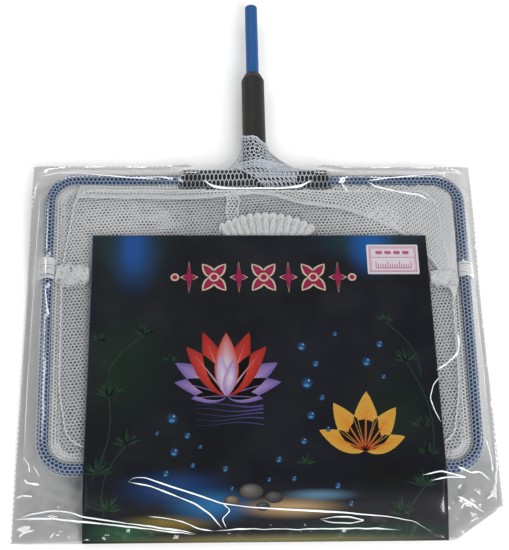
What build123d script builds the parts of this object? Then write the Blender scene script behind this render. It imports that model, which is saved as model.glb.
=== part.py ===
from build123d import *
import os

os.makedirs("parts", exist_ok=True)

# Aquarium fish net lying in its clear shop bag. The origin is under the centre of the wire frame, on the
# surface that the bag lies on. +X is to the right, +Y runs up the handle and +Z is up.

# Frame: a wire bent to four sides, wider at the handle end, sizes between wire centres
frame_top_width = 98.6
frame_bottom_width = 95.4
frame_height = 73.4
frame_corner_radius = 6.4
wire_diameter = 1.6
tube_diameter = 2.6
fit_gap = 0.05

# Neck and handle
arm_half_length = 17.5
arm_diameter = 5.0
arm_end_round = 0.6
tube_seat_depth = 3.0
stem_length = 9.0
wire_pair_gap = 0.2
wire_bend_radius = 3.0
ferrule_diameter = 4.9
ferrule_length = 12.0
ferrule_round = 0.3
neck_diameter = 5.7
neck_top_height = 31.1
neck_taper_length = 1.8
neck_taper_depth = 0.8
core_diameter = 2.0
handle_diameter = 3.2
handle_seat_diameter = 2.7
handle_seat_stand = 0.3
handle_length = 52.8
handle_end_wall = 0.9
handle_end_round = 0.15
butt_gap = 0.2

# Knitted mesh and its seams
mesh_thickness = 0.2
hem_gap = 0.05
allowance_thickness = 0.4
allowance_width = 4.2
layer_thickness = 0.3
layer_edge = 3.9
under_layer_edge = 3.4
net_rim = 1.6
top_mesh_columns = 15
top_mesh_rows = 13
under_mesh_columns = 10
under_mesh_rows = 9
strand_width = 0.9
seam_inset = 3.1
seam_width = 0.55
seam_thickness = 0.3
soft_gap = 0.3
flap_ridge_shares = [(-0.99, 0.86), (-0.47, 0.85), (0.05, 0.885), (0.46, 0.79), (0.79, 0.56), (0.98, 0.13)]
fan_centre_x = 2.4
fan_centre_drop = 32.7
fan_radius = 22.6
fan_root_radius = 11.0
fan_half_angle = 31
fan_side_angle = 2.2
fan_pleats = 11
pleat_width = 1.0
pleat_height = 0.5
seam_tail_x = -6.2
seam_tail_drop = 7.8
seam_tail_length = 5.0
seam_tail_width = 2.2
side_seam_drop = 24.6
side_seam_radius = 1.95
side_seam_thickness = 0.4
side_seam_reach = 9.2
side_seam_left_length = 5.6
side_seam_right_length = 3.6
wrap_left_height = 12.0
wrap_right_height = 9.4
wrap_left_reach = 7.2
wrap_right_reach = 11.1
wrap_left_web = 4.3
wrap_right_web = 5.4

# Clear film bag
film_thickness = 0.25
bag_shift = -0.5
bag_side_gap = 0.55
bag_end_gap = 0.35
bag_crown = 7.35
bag_over_arms = 6.9
bag_shoulder = 6.05
bag_tent_margin = 0.7
bag_tent_run = 3.2
bag_tent_round = 4.0
bag_crown_round = 60
bag_shoulder_round = 1.9
bag_end_round = 1.4
weld_side_width = 1.1
weld_top_width = 1.15
bag_mouth_reach = 13.75
notch_depth = 8.6
notch_floor_half_width = 11.6
notch_mouth_half_width = 15.6
notch_round = 2.2
cut_corner_width = 11.1
cut_corner_length = 7.6

# Printed card and its label
card_width = 78.5
card_length = 72.5
card_thickness = 0.3
card_shift = 0.7
card_tail = 13.9
card_bend_radius = 25
card_bend_angle = 22
sticker_width = 12.1
sticker_length = 7.8
sticker_thickness = 0.1
sticker_side_margin = 2.2
sticker_top_margin = 2.6
sticker_corner_radius = 0.3
overrun = 1.0

# Radii and levels that follow from these sizes
wire_radius = wire_diameter / 2
tube_radius = tube_diameter / 2
arm_radius = arm_diameter / 2
neck_radius = neck_diameter / 2
hem_inner = tube_radius + hem_gap
hem_outer = hem_inner + mesh_thickness
arm_cover_inner = arm_radius + 2 * hem_gap
arm_cover_outer = arm_cover_inner + mesh_thickness
wrap_inner = neck_radius + hem_gap
wrap_outer = wrap_inner + allowance_thickness - hem_gap
axis_level = film_thickness + soft_gap + wrap_outer
frame_top = frame_height / 2
frame_bottom = -frame_height / 2
allowance_low = axis_level - allowance_thickness / 2
allowance_high = axis_level + allowance_thickness / 2
axis_plane = Plane.XY.offset(axis_level)

# Heights along the handle, counted from the top bar
stem_top = frame_top + stem_length
ferrule_foot = stem_top + butt_gap
ferrule_middle = ferrule_foot + ferrule_length / 2
ferrule_head = ferrule_foot + ferrule_length
neck_foot = frame_top + arm_cover_outer + soft_gap
neck_head = frame_top + neck_top_height
handle_foot = ferrule_head + butt_gap
handle_tip = frame_top + handle_length


def half_width(height):
    """Half the frame's width between wire centres at a height from its bottom bar."""
    lean = (frame_top_width - frame_bottom_width) / 2 / frame_height
    return frame_bottom_width / 2 + lean * height


def frame_corners():
    """The four corners between wire centres: top left, bottom left, bottom right, top right."""
    return [
        (-frame_top_width / 2, frame_top),
        (-frame_bottom_width / 2, frame_bottom),
        (frame_bottom_width / 2, frame_bottom),
        (frame_top_width / 2, frame_top),
    ]


def across(height):
    """Upright plane across the handle at a height, its normal along +Y, its x along +X."""
    return Plane(origin=(0, height, axis_level), x_dir=(1, 0, 0), z_dir=(0, 1, 0))


def along_bar(reach):
    """Upright plane across the top bar at a reach from the middle, its normal along +X."""
    return Plane(origin=(reach, frame_top, axis_level), x_dir=(0, 1, 0), z_dir=(1, 0, 0))


# Frame wire, one length from the neck round the frame and back, its ends side by side in the neck
wire_offset = wire_radius + wire_pair_gap / 2
wire_end = ferrule_middle - butt_gap
bend = wire_bend_radius
corner = frame_corner_radius
with BuildPart() as frame_wire:
    with BuildLine(axis_plane) as wire_path:
        FilletPolyline(
            (-wire_offset, wire_end),
            (-wire_offset, frame_top),
            *frame_corners(),
            (wire_offset, frame_top),
            (wire_offset, wire_end),
            radius=[bend, corner, corner, corner, corner, bend],
        )
    with BuildSketch(across(wire_end)):
        with Locations((-wire_offset, 0)):
            Circle(wire_radius)
    sweep(path=wire_path.line)
frame_wire.part.label = "frame_wire"
export_step(frame_wire.part, "parts/frame_wire.step")

# Blue tube over the wire, its two ends seated in the arms of the tee
tube_end = arm_half_length - tube_seat_depth
with BuildPart() as frame_tube:
    with BuildLine(axis_plane) as tube_path:
        FilletPolyline((-tube_end, frame_top), *frame_corners(), (tube_end, frame_top), radius=corner)
    with BuildSketch(along_bar(-tube_end)):
        Circle(tube_radius)
        Circle(wire_radius + fit_gap, mode=Mode.SUBTRACT)
    sweep(path=tube_path.line)
frame_tube.part.label = "frame_tube"
export_step(frame_tube.part, "parts/frame_tube.step")

# Black tee, with a seat for the tube in each arm and a channel that turns each wire up the stem
with BuildPart() as tee_moulding:
    with BuildSketch(along_bar(-arm_half_length)):
        Circle(arm_radius)
    extrude(amount=2 * arm_half_length)
    end_rims = tee_moulding.edges().filter_by(GeomType.CIRCLE)
    fillet(end_rims, arm_end_round)
    with BuildSketch(across(frame_top)):
        Circle(arm_radius)
    extrude(amount=stem_length)
    with BuildLine(axis_plane) as channel_path:
        FilletPolyline(
            (-arm_half_length - overrun, frame_top),
            (-wire_offset, frame_top),
            (-wire_offset, stem_top + overrun),
            radius=bend,
        )
    with BuildSketch(along_bar(-arm_half_length - overrun)):
        Circle(wire_radius + fit_gap)
    sweep(path=channel_path.line, mode=Mode.SUBTRACT)
    with BuildSketch(along_bar(-arm_half_length - overrun)):
        Circle(tube_radius + fit_gap)
    extrude(amount=tube_seat_depth + overrun, mode=Mode.SUBTRACT)
    split(bisect_by=Plane.YZ, keep=Keep.BOTTOM)
    mirror(about=Plane.YZ)
tee_moulding.part.label = "tee_moulding"
export_step(tee_moulding.part, "parts/tee_moulding.step")

# Crimped ferrule: a slot for the two wire ends below, a bore for the handle's core above
with BuildPart() as crimp_ferrule:
    with BuildSketch(across(ferrule_foot)):
        Circle(ferrule_diameter / 2)
    extrude(amount=ferrule_length)
    fillet(crimp_ferrule.edges().filter_by(GeomType.CIRCLE), ferrule_round)
    with BuildSketch(across(ferrule_foot)):
        SlotOverall(2 * (wire_offset + wire_radius + fit_gap), wire_diameter + 2 * fit_gap)
    extrude(amount=ferrule_length / 2, mode=Mode.SUBTRACT)
    with BuildSketch(across(ferrule_middle)):
        Circle(core_diameter / 2 + fit_gap)
    extrude(amount=ferrule_length / 2, mode=Mode.SUBTRACT)
crimp_ferrule.part.label = "crimp_ferrule"
export_step(crimp_ferrule.part, "parts/crimp_ferrule.step")

# Black neck sleeve over stem and ferrule, tapered where the handle comes out
with BuildPart() as neck_sleeve:
    with BuildSketch(across(neck_foot)):
        Circle(neck_radius)
    extrude(amount=neck_head - neck_foot)
    taper_rim = neck_sleeve.edges().filter_by(GeomType.CIRCLE).sort_by(Axis.Y)[-1]
    chamfer(taper_rim, neck_taper_length, neck_taper_depth, reference=neck_sleeve.faces().sort_by(Axis.Y)[-2])
    with BuildSketch(across(neck_foot)):
        Circle(arm_radius + fit_gap)
    extrude(amount=ferrule_head - neck_foot, mode=Mode.SUBTRACT)
    with BuildSketch(across(neck_foot)):
        Circle(handle_seat_diameter / 2 + fit_gap)
    extrude(amount=neck_head - neck_foot, mode=Mode.SUBTRACT)
neck_sleeve.part.label = "neck_sleeve"
export_step(neck_sleeve.part, "parts/neck_sleeve.step")

# Steel core of the handle, from the ferrule to just short of the tip
core_foot = ferrule_middle + butt_gap
core_head = handle_tip - handle_end_wall - butt_gap
with BuildPart() as handle_core:
    with BuildSketch(across(core_foot)):
        Circle(core_diameter / 2)
    extrude(amount=core_head - core_foot)
handle_core.part.label = "handle_core"
export_step(handle_core.part, "parts/handle_core.step")

# Blue coat of the handle, drawn down where the neck sleeve grips it and closed at its flat free end
seat_head = neck_head + handle_seat_stand
with BuildPart() as handle_tube:
    with BuildSketch(across(handle_foot)):
        Circle(handle_seat_diameter / 2)
    extrude(amount=seat_head - handle_foot)
    with BuildSketch(across(seat_head)):
        Circle(handle_diameter / 2)
    extrude(amount=handle_tip - seat_head)
    tip_rim = handle_tube.edges().filter_by(GeomType.CIRCLE).sort_by(Axis.Y)[-1]
    fillet(tip_rim, handle_end_round)
    with BuildSketch(across(handle_foot)):
        Circle(core_diameter / 2 + fit_gap)
    extrude(amount=core_head + butt_gap - handle_foot, mode=Mode.SUBTRACT)
handle_tube.part.label = "handle_tube"
export_step(handle_tube.part, "parts/handle_tube.step")


def inset_outline(inset):
    """The frame's outline between wire centres, drawn in by an inset, with the round corners that leaves."""
    top = half_width(frame_height) - inset
    foot = half_width(0) - inset
    with BuildSketch() as outline:
        with BuildLine():
            FilletPolyline(
                (-top, frame_top - inset),
                (-foot, frame_bottom + inset),
                (foot, frame_bottom + inset),
                (top, frame_top - inset),
                radius=frame_corner_radius - inset / 2,
                close=True,
            )
        make_face()
    return outline.sketch


# Mesh hem: a sleeve round the tube, a wider one round the arms, and the seam allowance inside the frame
cap_reach = arm_half_length + hem_gap + mesh_thickness
with BuildPart() as net_hem:
    with BuildLine(axis_plane) as hem_path:
        FilletPolyline((-arm_half_length, frame_top), *frame_corners(), (arm_half_length, frame_top), radius=corner)
    with BuildSketch(along_bar(-arm_half_length)):
        Circle(hem_outer)
    sweep(path=hem_path.line)
    with BuildSketch(along_bar(-cap_reach)):
        Circle(arm_cover_outer)
    extrude(amount=2 * cap_reach)
    with BuildSketch(Plane.XY.offset(allowance_low)):
        add(inset_outline(tube_radius))
        add(inset_outline(allowance_width), mode=Mode.SUBTRACT)
    extrude(amount=allowance_thickness)
    with BuildSketch(along_bar(-arm_half_length)):
        Circle(hem_inner)
    sweep(path=hem_path.line, mode=Mode.SUBTRACT)
    with BuildSketch(along_bar(-arm_half_length - hem_gap)):
        Circle(arm_cover_inner)
    extrude(amount=2 * (arm_half_length + hem_gap), mode=Mode.SUBTRACT)
    with BuildSketch(across(frame_top)):
        Circle(neck_radius + soft_gap)
    extrude(amount=arm_diameter, mode=Mode.SUBTRACT)
net_hem.part.label = "net_hem"
export_step(net_hem.part, "parts/net_hem.step")


# Sewn line of the hem, a flat chain of thread on the seam allowance
with BuildPart() as hem_seam:
    with BuildSketch(Plane.XY.offset(allowance_high)):
        add(inset_outline(seam_inset))
        add(inset_outline(seam_inset + seam_width), mode=Mode.SUBTRACT)
    extrude(amount=seam_thickness)
hem_seam.part.label = "hem_seam"
export_step(hem_seam.part, "parts/hem_seam.step")


def mesh_layer(level, edge, columns, rows):
    """A flat layer of the net bag at a level: one face with a rim and staggered six-sided gaps."""
    rim = edge + net_rim
    pitch_x = 2 * (half_width(0) - rim) / (columns + 1 / 2)
    pitch_y = (frame_height - 2 * rim) / rows
    with BuildPart() as layer:
        with BuildSketch(Plane.XY.offset(level)):
            add(inset_outline(edge))
            for row in range(rows):
                shift = (row % 2 - 1 / 2) * pitch_x / 2
                with Locations((shift, (row - (rows - 1) / 2) * pitch_y)):
                    with GridLocations(pitch_x, pitch_y, columns, 1):
                        gap_width = pitch_x - strand_width
                        RegularPolygon(gap_width / 2, 6, major_radius=False, rotation=30, mode=Mode.SUBTRACT)
        extrude(amount=layer_thickness)
    return layer.part


# The net bag folded flat: its upper layer lies on the seam allowance, its lower layer hangs under it
layer_high = allowance_high + layer_thickness
with BuildPart() as net_top_layer:
    add(mesh_layer(allowance_high, layer_edge, top_mesh_columns, top_mesh_rows))
net_top_layer.part.label = "net_top_layer"
export_step(net_top_layer.part, "parts/net_top_layer.step")

with BuildPart() as net_under_layer:
    add(mesh_layer(allowance_low - layer_thickness, under_layer_edge, under_mesh_columns, under_mesh_rows))
net_under_layer.part.label = "net_under_layer"
export_step(net_under_layer.part, "parts/net_under_layer.step")

# Mesh turned in below the top bar, its free edge a ridge that sweeps down to the right
flap_head = frame_top - arm_cover_outer - hem_gap
flap_reach_x = min(half_width(0), half_width(flap_head - frame_bottom)) - layer_edge
with BuildPart() as hem_flap:
    with BuildSketch(Plane.XY.offset(layer_high)):
        with BuildLine():
            ridge_points = [(x * flap_reach_x, y * frame_top) for x, y in flap_ridge_shares]
            ridge = Spline(*ridge_points)
            right_edge = Line(ridge @ 1, (flap_reach_x, flap_head))
            head_edge = Line(right_edge @ 1, (-flap_reach_x, flap_head))
            Line(head_edge @ 1, ridge @ 0)
        make_face()
    extrude(amount=layer_thickness)
hem_flap.part.label = "hem_flap"
export_step(hem_flap.part, "parts/hem_flap.step")

# Gathered bottom seam of the bag: a fan of pleats round a centre that the card hides
fan_centre = (fan_centre_x, frame_top - fan_centre_drop)
with BuildPart() as bottom_gather:
    with BuildSketch(Plane.XY.offset(layer_high)):
        with BuildLine():
            fan_rim = CenterArc(fan_centre, fan_radius, 90 - fan_half_angle, 2 * fan_half_angle)
            fan_root = CenterArc(fan_centre, fan_root_radius, 90 - fan_half_angle, 2 * fan_half_angle)
            Line(fan_rim @ 0, fan_root @ 0)
            Line(fan_rim @ 1, fan_root @ 1)
        make_face()
    extrude(amount=layer_thickness)
    pleat_length = fan_radius - fan_root_radius
    pleat_middle = (fan_radius + fan_root_radius) / 2
    pleat_step = 2 * (fan_half_angle - fan_side_angle) / (fan_pleats - 1)
    with BuildSketch(Plane.XY.offset(layer_high + layer_thickness)):
        for pleat in range(fan_pleats):
            turn = fan_side_angle - fan_half_angle + pleat * pleat_step
            with Locations(Location((*fan_centre, 0), (0, 0, turn))):
                with Locations((0, pleat_middle)):
                    SlotOverall(pleat_length, pleat_width, rotation=90)
    extrude(amount=pleat_height)
bottom_gather.part.label = "bottom_gather"
export_step(bottom_gather.part, "parts/bottom_gather.step")

# Short chained tail of sewing thread between the ridge and the fan
with BuildPart() as seam_tail:
    with BuildSketch(Plane.XY.offset(layer_high)):
        with Locations((seam_tail_x, frame_top - seam_tail_drop)):
            SlotOverall(seam_tail_length, seam_tail_width, rotation=90)
    extrude(amount=seam_thickness)
seam_tail.part.label = "seam_tail"
export_step(seam_tail.part, "parts/seam_tail.step")


def side_seam(side, length):
    """Overlocked seam that crosses a side bar: a collar round the hem and a tongue on the upper layer."""
    bar_x = half_width(frame_height - side_seam_drop)
    seat = hem_outer + hem_gap
    tongue_low = layer_high + layer_thickness + hem_gap
    slot_room = allowance_thickness / 2 + hem_gap
    with BuildPart() as seam:
        with BuildSketch(Plane.XZ.offset(side_seam_drop - frame_top)):
            with Locations((bar_x, axis_level)):
                Circle(side_seam_radius)
            with Locations((bar_x, tongue_low)):
                Rectangle(side_seam_reach, side_seam_thickness, align=(Align.MAX, Align.MIN))
            with Locations((bar_x, axis_level)):
                Circle(seat, mode=Mode.SUBTRACT)
                Rectangle(side_seam_reach, 2 * slot_room, align=(Align.MAX, Align.CENTER), mode=Mode.SUBTRACT)
        extrude(amount=length / 2, both=True)
    return seam.part if side > 0 else mirror(seam.part, about=Plane.YZ)


with BuildPart() as side_seam_left:
    add(side_seam(-1, side_seam_left_length))
side_seam_left.part.label = "side_seam_left"
export_step(side_seam_left.part, "parts/side_seam_left.step")

with BuildPart() as side_seam_right:
    add(side_seam(1, side_seam_right_length))
side_seam_right.part.label = "side_seam_right"
export_step(side_seam_right.part, "parts/side_seam_right.step")

# Mesh drawn up round the foot of the neck, its rim slanting down to the right, with a web on each side
wrap_left = frame_top + wrap_left_height
wrap_right = frame_top + wrap_right_height
with BuildPart() as neck_wrap:
    with BuildSketch(across(neck_foot)):
        Circle(wrap_outer)
    extrude(amount=wrap_left - neck_foot)
    with BuildSketch(axis_plane):
        with BuildLine():
            Polyline(
                (-wrap_outer - overrun, wrap_left),
                (wrap_outer + overrun, wrap_right),
                (wrap_outer + overrun, wrap_left + overrun),
                (-wrap_outer - overrun, wrap_left + overrun),
                close=True,
            )
        make_face()
    extrude(amount=wrap_outer + overrun, both=True, mode=Mode.SUBTRACT)
    with BuildSketch(Plane.XY.offset(allowance_low)):
        with BuildLine():
            left_rise = Line((-wrap_left_reach, neck_foot), (-wrap_inner, neck_foot + wrap_left_web))
            right_rise = Line((wrap_inner, neck_foot + wrap_right_web), (wrap_right_reach, neck_foot))
            Line(left_rise @ 1, right_rise @ 0)
            Line(right_rise @ 1, left_rise @ 0)
        make_face()
    extrude(amount=allowance_thickness)
    with BuildSketch(across(neck_foot)):
        Circle(wrap_inner)
    extrude(amount=wrap_left - neck_foot, mode=Mode.SUBTRACT)
neck_wrap.part.label = "neck_wrap"
export_step(neck_wrap.part, "parts/neck_wrap.step")

# Levels and edges of the film bag, which follow the frame inside it
pocket_half = max(half_width(0), half_width(frame_height)) + hem_outer + bag_side_gap + abs(bag_shift)
pocket_end = frame_top + arm_cover_outer + bag_end_gap
bag_left = bag_shift - pocket_half - film_thickness - weld_side_width
bag_right = bag_shift + pocket_half + film_thickness + weld_side_width
bag_top = pocket_end + film_thickness + weld_top_width
bag_mouth = frame_bottom - hem_outer - bag_mouth_reach
notch_floor = bag_top - notch_depth
tent_shoulder = cap_reach + abs(bag_shift) + bag_tent_margin
tent_foot = tent_shoulder + bag_tent_run


def film_outline():
    """Outline of both films: the notch for the neck at the top and the corner cut off at the right of the mouth."""
    with BuildSketch() as outline:
        with BuildLine():
            Polyline(
                (bag_left, bag_mouth),
                (bag_right - cut_corner_width, bag_mouth),
                (bag_right, bag_mouth + cut_corner_length),
                (bag_right, bag_top),
                (bag_left, bag_top),
                close=True,
            )
        make_face()
        add(notch_outline(), mode=Mode.SUBTRACT)
    return outline.sketch


def notch_outline():
    """The notch for the neck: wider at the bag's edge than at its floor, its lower corners round."""
    with BuildSketch() as outline:
        with BuildLine():
            FilletPolyline(
                (-notch_mouth_half_width, bag_top + overrun),
                (-notch_mouth_half_width, bag_top),
                (-notch_floor_half_width, notch_floor),
                (notch_floor_half_width, notch_floor),
                (notch_mouth_half_width, bag_top),
                (notch_mouth_half_width, bag_top + overrun),
                radius=[notch_round / 2, notch_round, notch_round, notch_round / 2],
            )
            Line((-notch_mouth_half_width, bag_top + overrun), (notch_mouth_half_width, bag_top + overrun))
        make_face()
    return outline.sketch


def pocket_block(wall, run):
    """The room of the pocket as a block, grown by a wall and run on past the mouth: a low tent, round shoulders."""
    half = pocket_half + wall
    with BuildPart() as block:
        with BuildSketch(Plane.XZ.offset(-pocket_end - wall)):
            with Locations((bag_shift, 0)):
                add(crown_section(half, wall))
        extrude(amount=pocket_end + wall - bag_mouth + run)
        end_edges = block.edges().group_by(Axis.Y)[-1].sort_by(Axis.Z)[1:]
        fillet(end_edges, bag_end_round + wall)
    return block.part


def crown_section(half, wall):
    """Section of the pocket block across the bag: flat over the net and card, and a low tent over the tee's arms."""
    with BuildSketch() as section:
        with BuildLine():
            Line((-half, film_thickness), (half, film_thickness))
            FilletPolyline(
                (half, film_thickness),
                (half, bag_shoulder + wall),
                (tent_foot, bag_shoulder + wall),
                (tent_shoulder, bag_over_arms + wall),
                (0, bag_crown + wall),
                (-tent_shoulder, bag_over_arms + wall),
                (-tent_foot, bag_shoulder + wall),
                (-half, bag_shoulder + wall),
                (-half, film_thickness),
                radius=[
                    bag_shoulder_round + wall,
                    bag_tent_round - wall,
                    bag_tent_round + wall,
                    bag_crown_round + wall,
                    bag_tent_round + wall,
                    bag_tent_round - wall,
                    bag_shoulder_round + wall,
                ],
            )
        make_face()
    return section.sketch


# Back film, flat on the surface
with BuildPart() as bag_back_film:
    with BuildSketch(Plane.XY):
        add(film_outline())
    extrude(amount=film_thickness)
bag_back_film.part.label = "bag_back_film"
export_step(bag_back_film.part, "parts/bag_back_film.step")

# Front film, stretched over the net and the card, with its flat margin welded to the back film
with BuildPart() as bag_front_film:
    with BuildSketch(Plane.XY.offset(film_thickness)):
        add(film_outline())
    extrude(amount=film_thickness)
    add(pocket_block(film_thickness, 0))
    add(pocket_block(0, overrun), mode=Mode.SUBTRACT)
    with BuildSketch(Plane.XY):
        add(notch_outline())
        with BuildLine():
            Polyline(
                (bag_right - cut_corner_width, bag_mouth),
                (bag_right, bag_mouth + cut_corner_length),
                (bag_right, bag_mouth),
                close=True,
            )
        make_face()
    extrude(amount=bag_crown + overrun, mode=Mode.SUBTRACT)
bag_front_film.part.label = "bag_front_film"
export_step(bag_front_film.part, "parts/bag_front_film.step")

# Printed card: flat over the net, carried by the bottom bar, its tail bent down past it
card_low = axis_level + hem_outer + soft_gap
card_head = frame_bottom - hem_outer - card_tail + card_length
with BuildPart() as insert_card:
    with BuildSketch(Plane.YZ.offset(card_shift - card_width / 2)):
        with BuildLine() as card_line:
            flat = Line((card_head, card_low), (frame_bottom + hem_outer, card_low))
            bow = JernArc(flat @ 1, flat % 1, card_bend_radius, card_bend_angle)
            tail_run = card_head - card_length - (bow @ 1).X
            Line(bow @ 1, bow @ 1 + bow % 1 * (tail_run / (bow % 1).X))
        trace(line_width=card_thickness)
    extrude(amount=card_width)
insert_card.part.label = "insert_card"
export_step(insert_card.part, "parts/insert_card.step")

# Label on the upper right of the card
with BuildPart() as size_sticker:
    with BuildSketch(Plane.XY.offset(card_low + card_thickness / 2)):
        sticker_x = card_shift + card_width / 2 - sticker_side_margin - sticker_width / 2
        with Locations((sticker_x, card_head - sticker_top_margin - sticker_length / 2)):
            RectangleRounded(sticker_width, sticker_length, sticker_corner_radius)
    extrude(amount=sticker_thickness)
size_sticker.part.label = "size_sticker"
export_step(size_sticker.part, "parts/size_sticker.step")
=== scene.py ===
import math

import bpy
import numpy as np
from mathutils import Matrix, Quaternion, Vector


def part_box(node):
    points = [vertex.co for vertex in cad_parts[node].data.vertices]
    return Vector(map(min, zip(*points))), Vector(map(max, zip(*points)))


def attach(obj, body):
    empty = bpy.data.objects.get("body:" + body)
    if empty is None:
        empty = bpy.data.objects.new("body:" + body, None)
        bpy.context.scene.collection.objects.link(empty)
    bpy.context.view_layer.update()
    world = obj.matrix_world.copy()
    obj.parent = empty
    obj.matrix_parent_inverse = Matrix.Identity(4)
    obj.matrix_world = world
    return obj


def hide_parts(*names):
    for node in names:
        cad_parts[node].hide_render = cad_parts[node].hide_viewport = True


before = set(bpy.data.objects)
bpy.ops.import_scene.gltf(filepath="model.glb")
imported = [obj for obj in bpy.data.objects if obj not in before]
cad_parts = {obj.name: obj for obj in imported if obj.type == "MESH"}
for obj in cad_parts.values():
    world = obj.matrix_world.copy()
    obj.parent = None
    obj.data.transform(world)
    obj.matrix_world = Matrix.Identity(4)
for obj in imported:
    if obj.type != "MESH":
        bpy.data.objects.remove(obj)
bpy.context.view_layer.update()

mm = 0.001

# Camera and floor
# The photograph looks down on the bag from its mouth end, a little from the left: 62 degrees above the
# floor, 320 mm from a point just above the card, with the camera leaning over by a few degrees.
view_azimuth = math.radians(-5.03)
view_elevation = math.radians(62)
view_roll = math.radians(4.36)
view_distance = 320.4 * mm
view_target = Vector((-0.5 * mm, 12.85 * mm, 0))
photo_long_side = 550
focal_pixels = 1354

camera = bpy.data.objects.new("camera", bpy.data.cameras.new("camera"))
bpy.context.scene.collection.objects.link(camera)
bpy.context.scene.camera = camera
camera.data.sensor_width = 36
camera.data.lens = focal_pixels / photo_long_side * camera.data.sensor_width
camera.data.clip_start = 5 * mm
camera_back = Vector((
    math.sin(view_azimuth) * math.cos(view_elevation),
    -math.cos(view_azimuth) * math.cos(view_elevation),
    math.sin(view_elevation),
))
camera.location = view_target + camera_back * view_distance
camera.rotation_mode = "QUATERNION"
level_view = (-camera_back).to_track_quat("-Z", "Y")
camera.rotation_quaternion = level_view @ Quaternion((0, 0, 1), view_roll)


def linear(code):
    """The linear colour, with alpha, of an sRGB hex code such as #2a6a9c."""
    parts = [int(code[i:i + 2], 16) / 255 for i in (1, 3, 5)]
    return [c / 12.92 if c <= 0.04045 else ((c + 0.055) / 1.055) ** 2.4 for c in parts] + [1]


def add_node(tree, kind, inputs=None, **settings):
    """Adds a node, sets its settings, and sets or links each named input."""
    node = tree.nodes.new(kind)
    for name, value in settings.items():
        setattr(node, name, value)
    for name, value in (inputs or {}).items():
        socket = next(each for each in node.inputs if each.name == name and each.enabled)
        if isinstance(value, bpy.types.NodeSocket):
            tree.links.new(value, socket)
        else:
            socket.default_value = value
    return node


def result(node):
    """The output in use of a node that has one for each kind of value."""
    return next(each for each in node.outputs if each.enabled)


def start_material(name):
    """A new material with one Principled shader: the material, its node tree and the shader."""
    material = bpy.data.materials.new(name)
    material.use_nodes = True
    return material, material.node_tree, material.node_tree.nodes["Principled BSDF"]


def add_piece(name, points, faces, material, smooth=True):
    """A mesh object from points in millimetres."""
    mesh = bpy.data.meshes.new(name)
    mesh.from_pydata((np.asarray(points, float) * mm).tolist(), [], faces)
    mesh.validate()
    mesh.polygons.foreach_set("use_smooth", [smooth] * len(mesh.polygons))
    mesh.materials.append(material)
    piece = bpy.data.objects.new(name, mesh)
    bpy.context.scene.collection.objects.link(piece)
    return piece


# Matt painted board: an even pale ground with a faint roller texture that keeps the contact shadow soft
floor_paint, tree, shader = start_material("painted_board")
floor_half = 1500
roller_grain = 1.5
coords = add_node(tree, "ShaderNodeTexCoord")
mottle = add_node(tree, "ShaderNodeTexNoise", {"Vector": coords.outputs["Object"], "Scale": 1 / (roller_grain * mm)})
floor_tone = add_node(
    tree, "ShaderNodeMix", {"Factor": mottle.outputs["Fac"], "A": linear("#f4f4f3"), "B": linear("#f8f8f8")},
    data_type="RGBA",
)
tree.links.new(result(floor_tone), shader.inputs["Base Color"])
shader.inputs["Roughness"].default_value = 0.9
shader.inputs["Specular IOR Level"].default_value = 0.1
floor_corners = [(-floor_half, -floor_half, 0), (floor_half, -floor_half, 0), (floor_half, floor_half, 0),
                 (-floor_half, floor_half, 0)]
floor = add_piece("floor", floor_corners, [(0, 1, 2, 3)], floor_paint)
floor.location.z = -0.05 * mm

# Blue tube over the frame wire, and the blue coat of the handle
# Both are plasticised PVC extruded over steel wire. The extruder leaves a soft gloss and faint streaks
# along the length, which read as slightly darker and lighter blue.
blue_pvc, tree, shader = start_material("extruded_blue_pvc")
streak_width = 0.5
coords = add_node(tree, "ShaderNodeTexCoord")
stretch = add_node(tree, "ShaderNodeMapping", {"Vector": coords.outputs["Object"], "Scale": (1, 0.08, 1)})
streaks = add_node(
    tree, "ShaderNodeTexNoise", {"Vector": stretch.outputs["Vector"], "Scale": 1 / (streak_width * mm), "Detail": 3.0}
)
blue_tone = add_node(
    tree, "ShaderNodeMix", {"Factor": streaks.outputs["Fac"], "A": linear("#0a3f74"), "B": linear("#13528a")},
    data_type="RGBA",
)
tree.links.new(result(blue_tone), shader.inputs["Base Color"])
gloss = add_node(
    tree, "ShaderNodeMapRange", {"Value": streaks.outputs["Fac"], "To Min": 0.32, "To Max": 0.46}
)
tree.links.new(gloss.outputs["Result"], shader.inputs["Roughness"])
bump = add_node(tree, "ShaderNodeBump", {"Height": streaks.outputs["Fac"], "Strength": 0.15, "Distance": 0.05 * mm})
tree.links.new(bump.outputs["Normal"], shader.inputs["Normal"])
shader.inputs["IOR"].default_value = 1.53
shader.inputs["Specular IOR Level"].default_value = 0.18


def finish_node(name, material):
    """Gives a CAD node its finish."""
    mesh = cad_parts[name].data
    mesh.materials.clear()
    mesh.materials.append(material)


for name in ("frame_tube", "handle_tube"):
    finish_node(name, blue_pvc)

# Steel frame wire, handle core and ferrule
# Drawn low-carbon steel wire, galvanised, and a ferrule crimped from the same steel. They are closed in by
# the plastic, and only cut ends would show: dull zinc with fine drawing lines.
zinc_wire, tree, shader = start_material("galvanised_steel")
draw_line = 0.15
coords = add_node(tree, "ShaderNodeTexCoord")
lines = add_node(tree, "ShaderNodeTexNoise", {"Vector": coords.outputs["Object"], "Scale": 1 / (draw_line * mm)})
zinc_tone = add_node(
    tree, "ShaderNodeMix", {"Factor": lines.outputs["Fac"], "A": linear("#8d9093"), "B": linear("#b4b7ba")},
    data_type="RGBA",
)
tree.links.new(result(zinc_tone), shader.inputs["Base Color"])
shader.inputs["Metallic"].default_value = 1
shader.inputs["Roughness"].default_value = 0.42
for name in ("frame_wire", "handle_core", "crimp_ferrule"):
    finish_node(name, zinc_wire)

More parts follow.
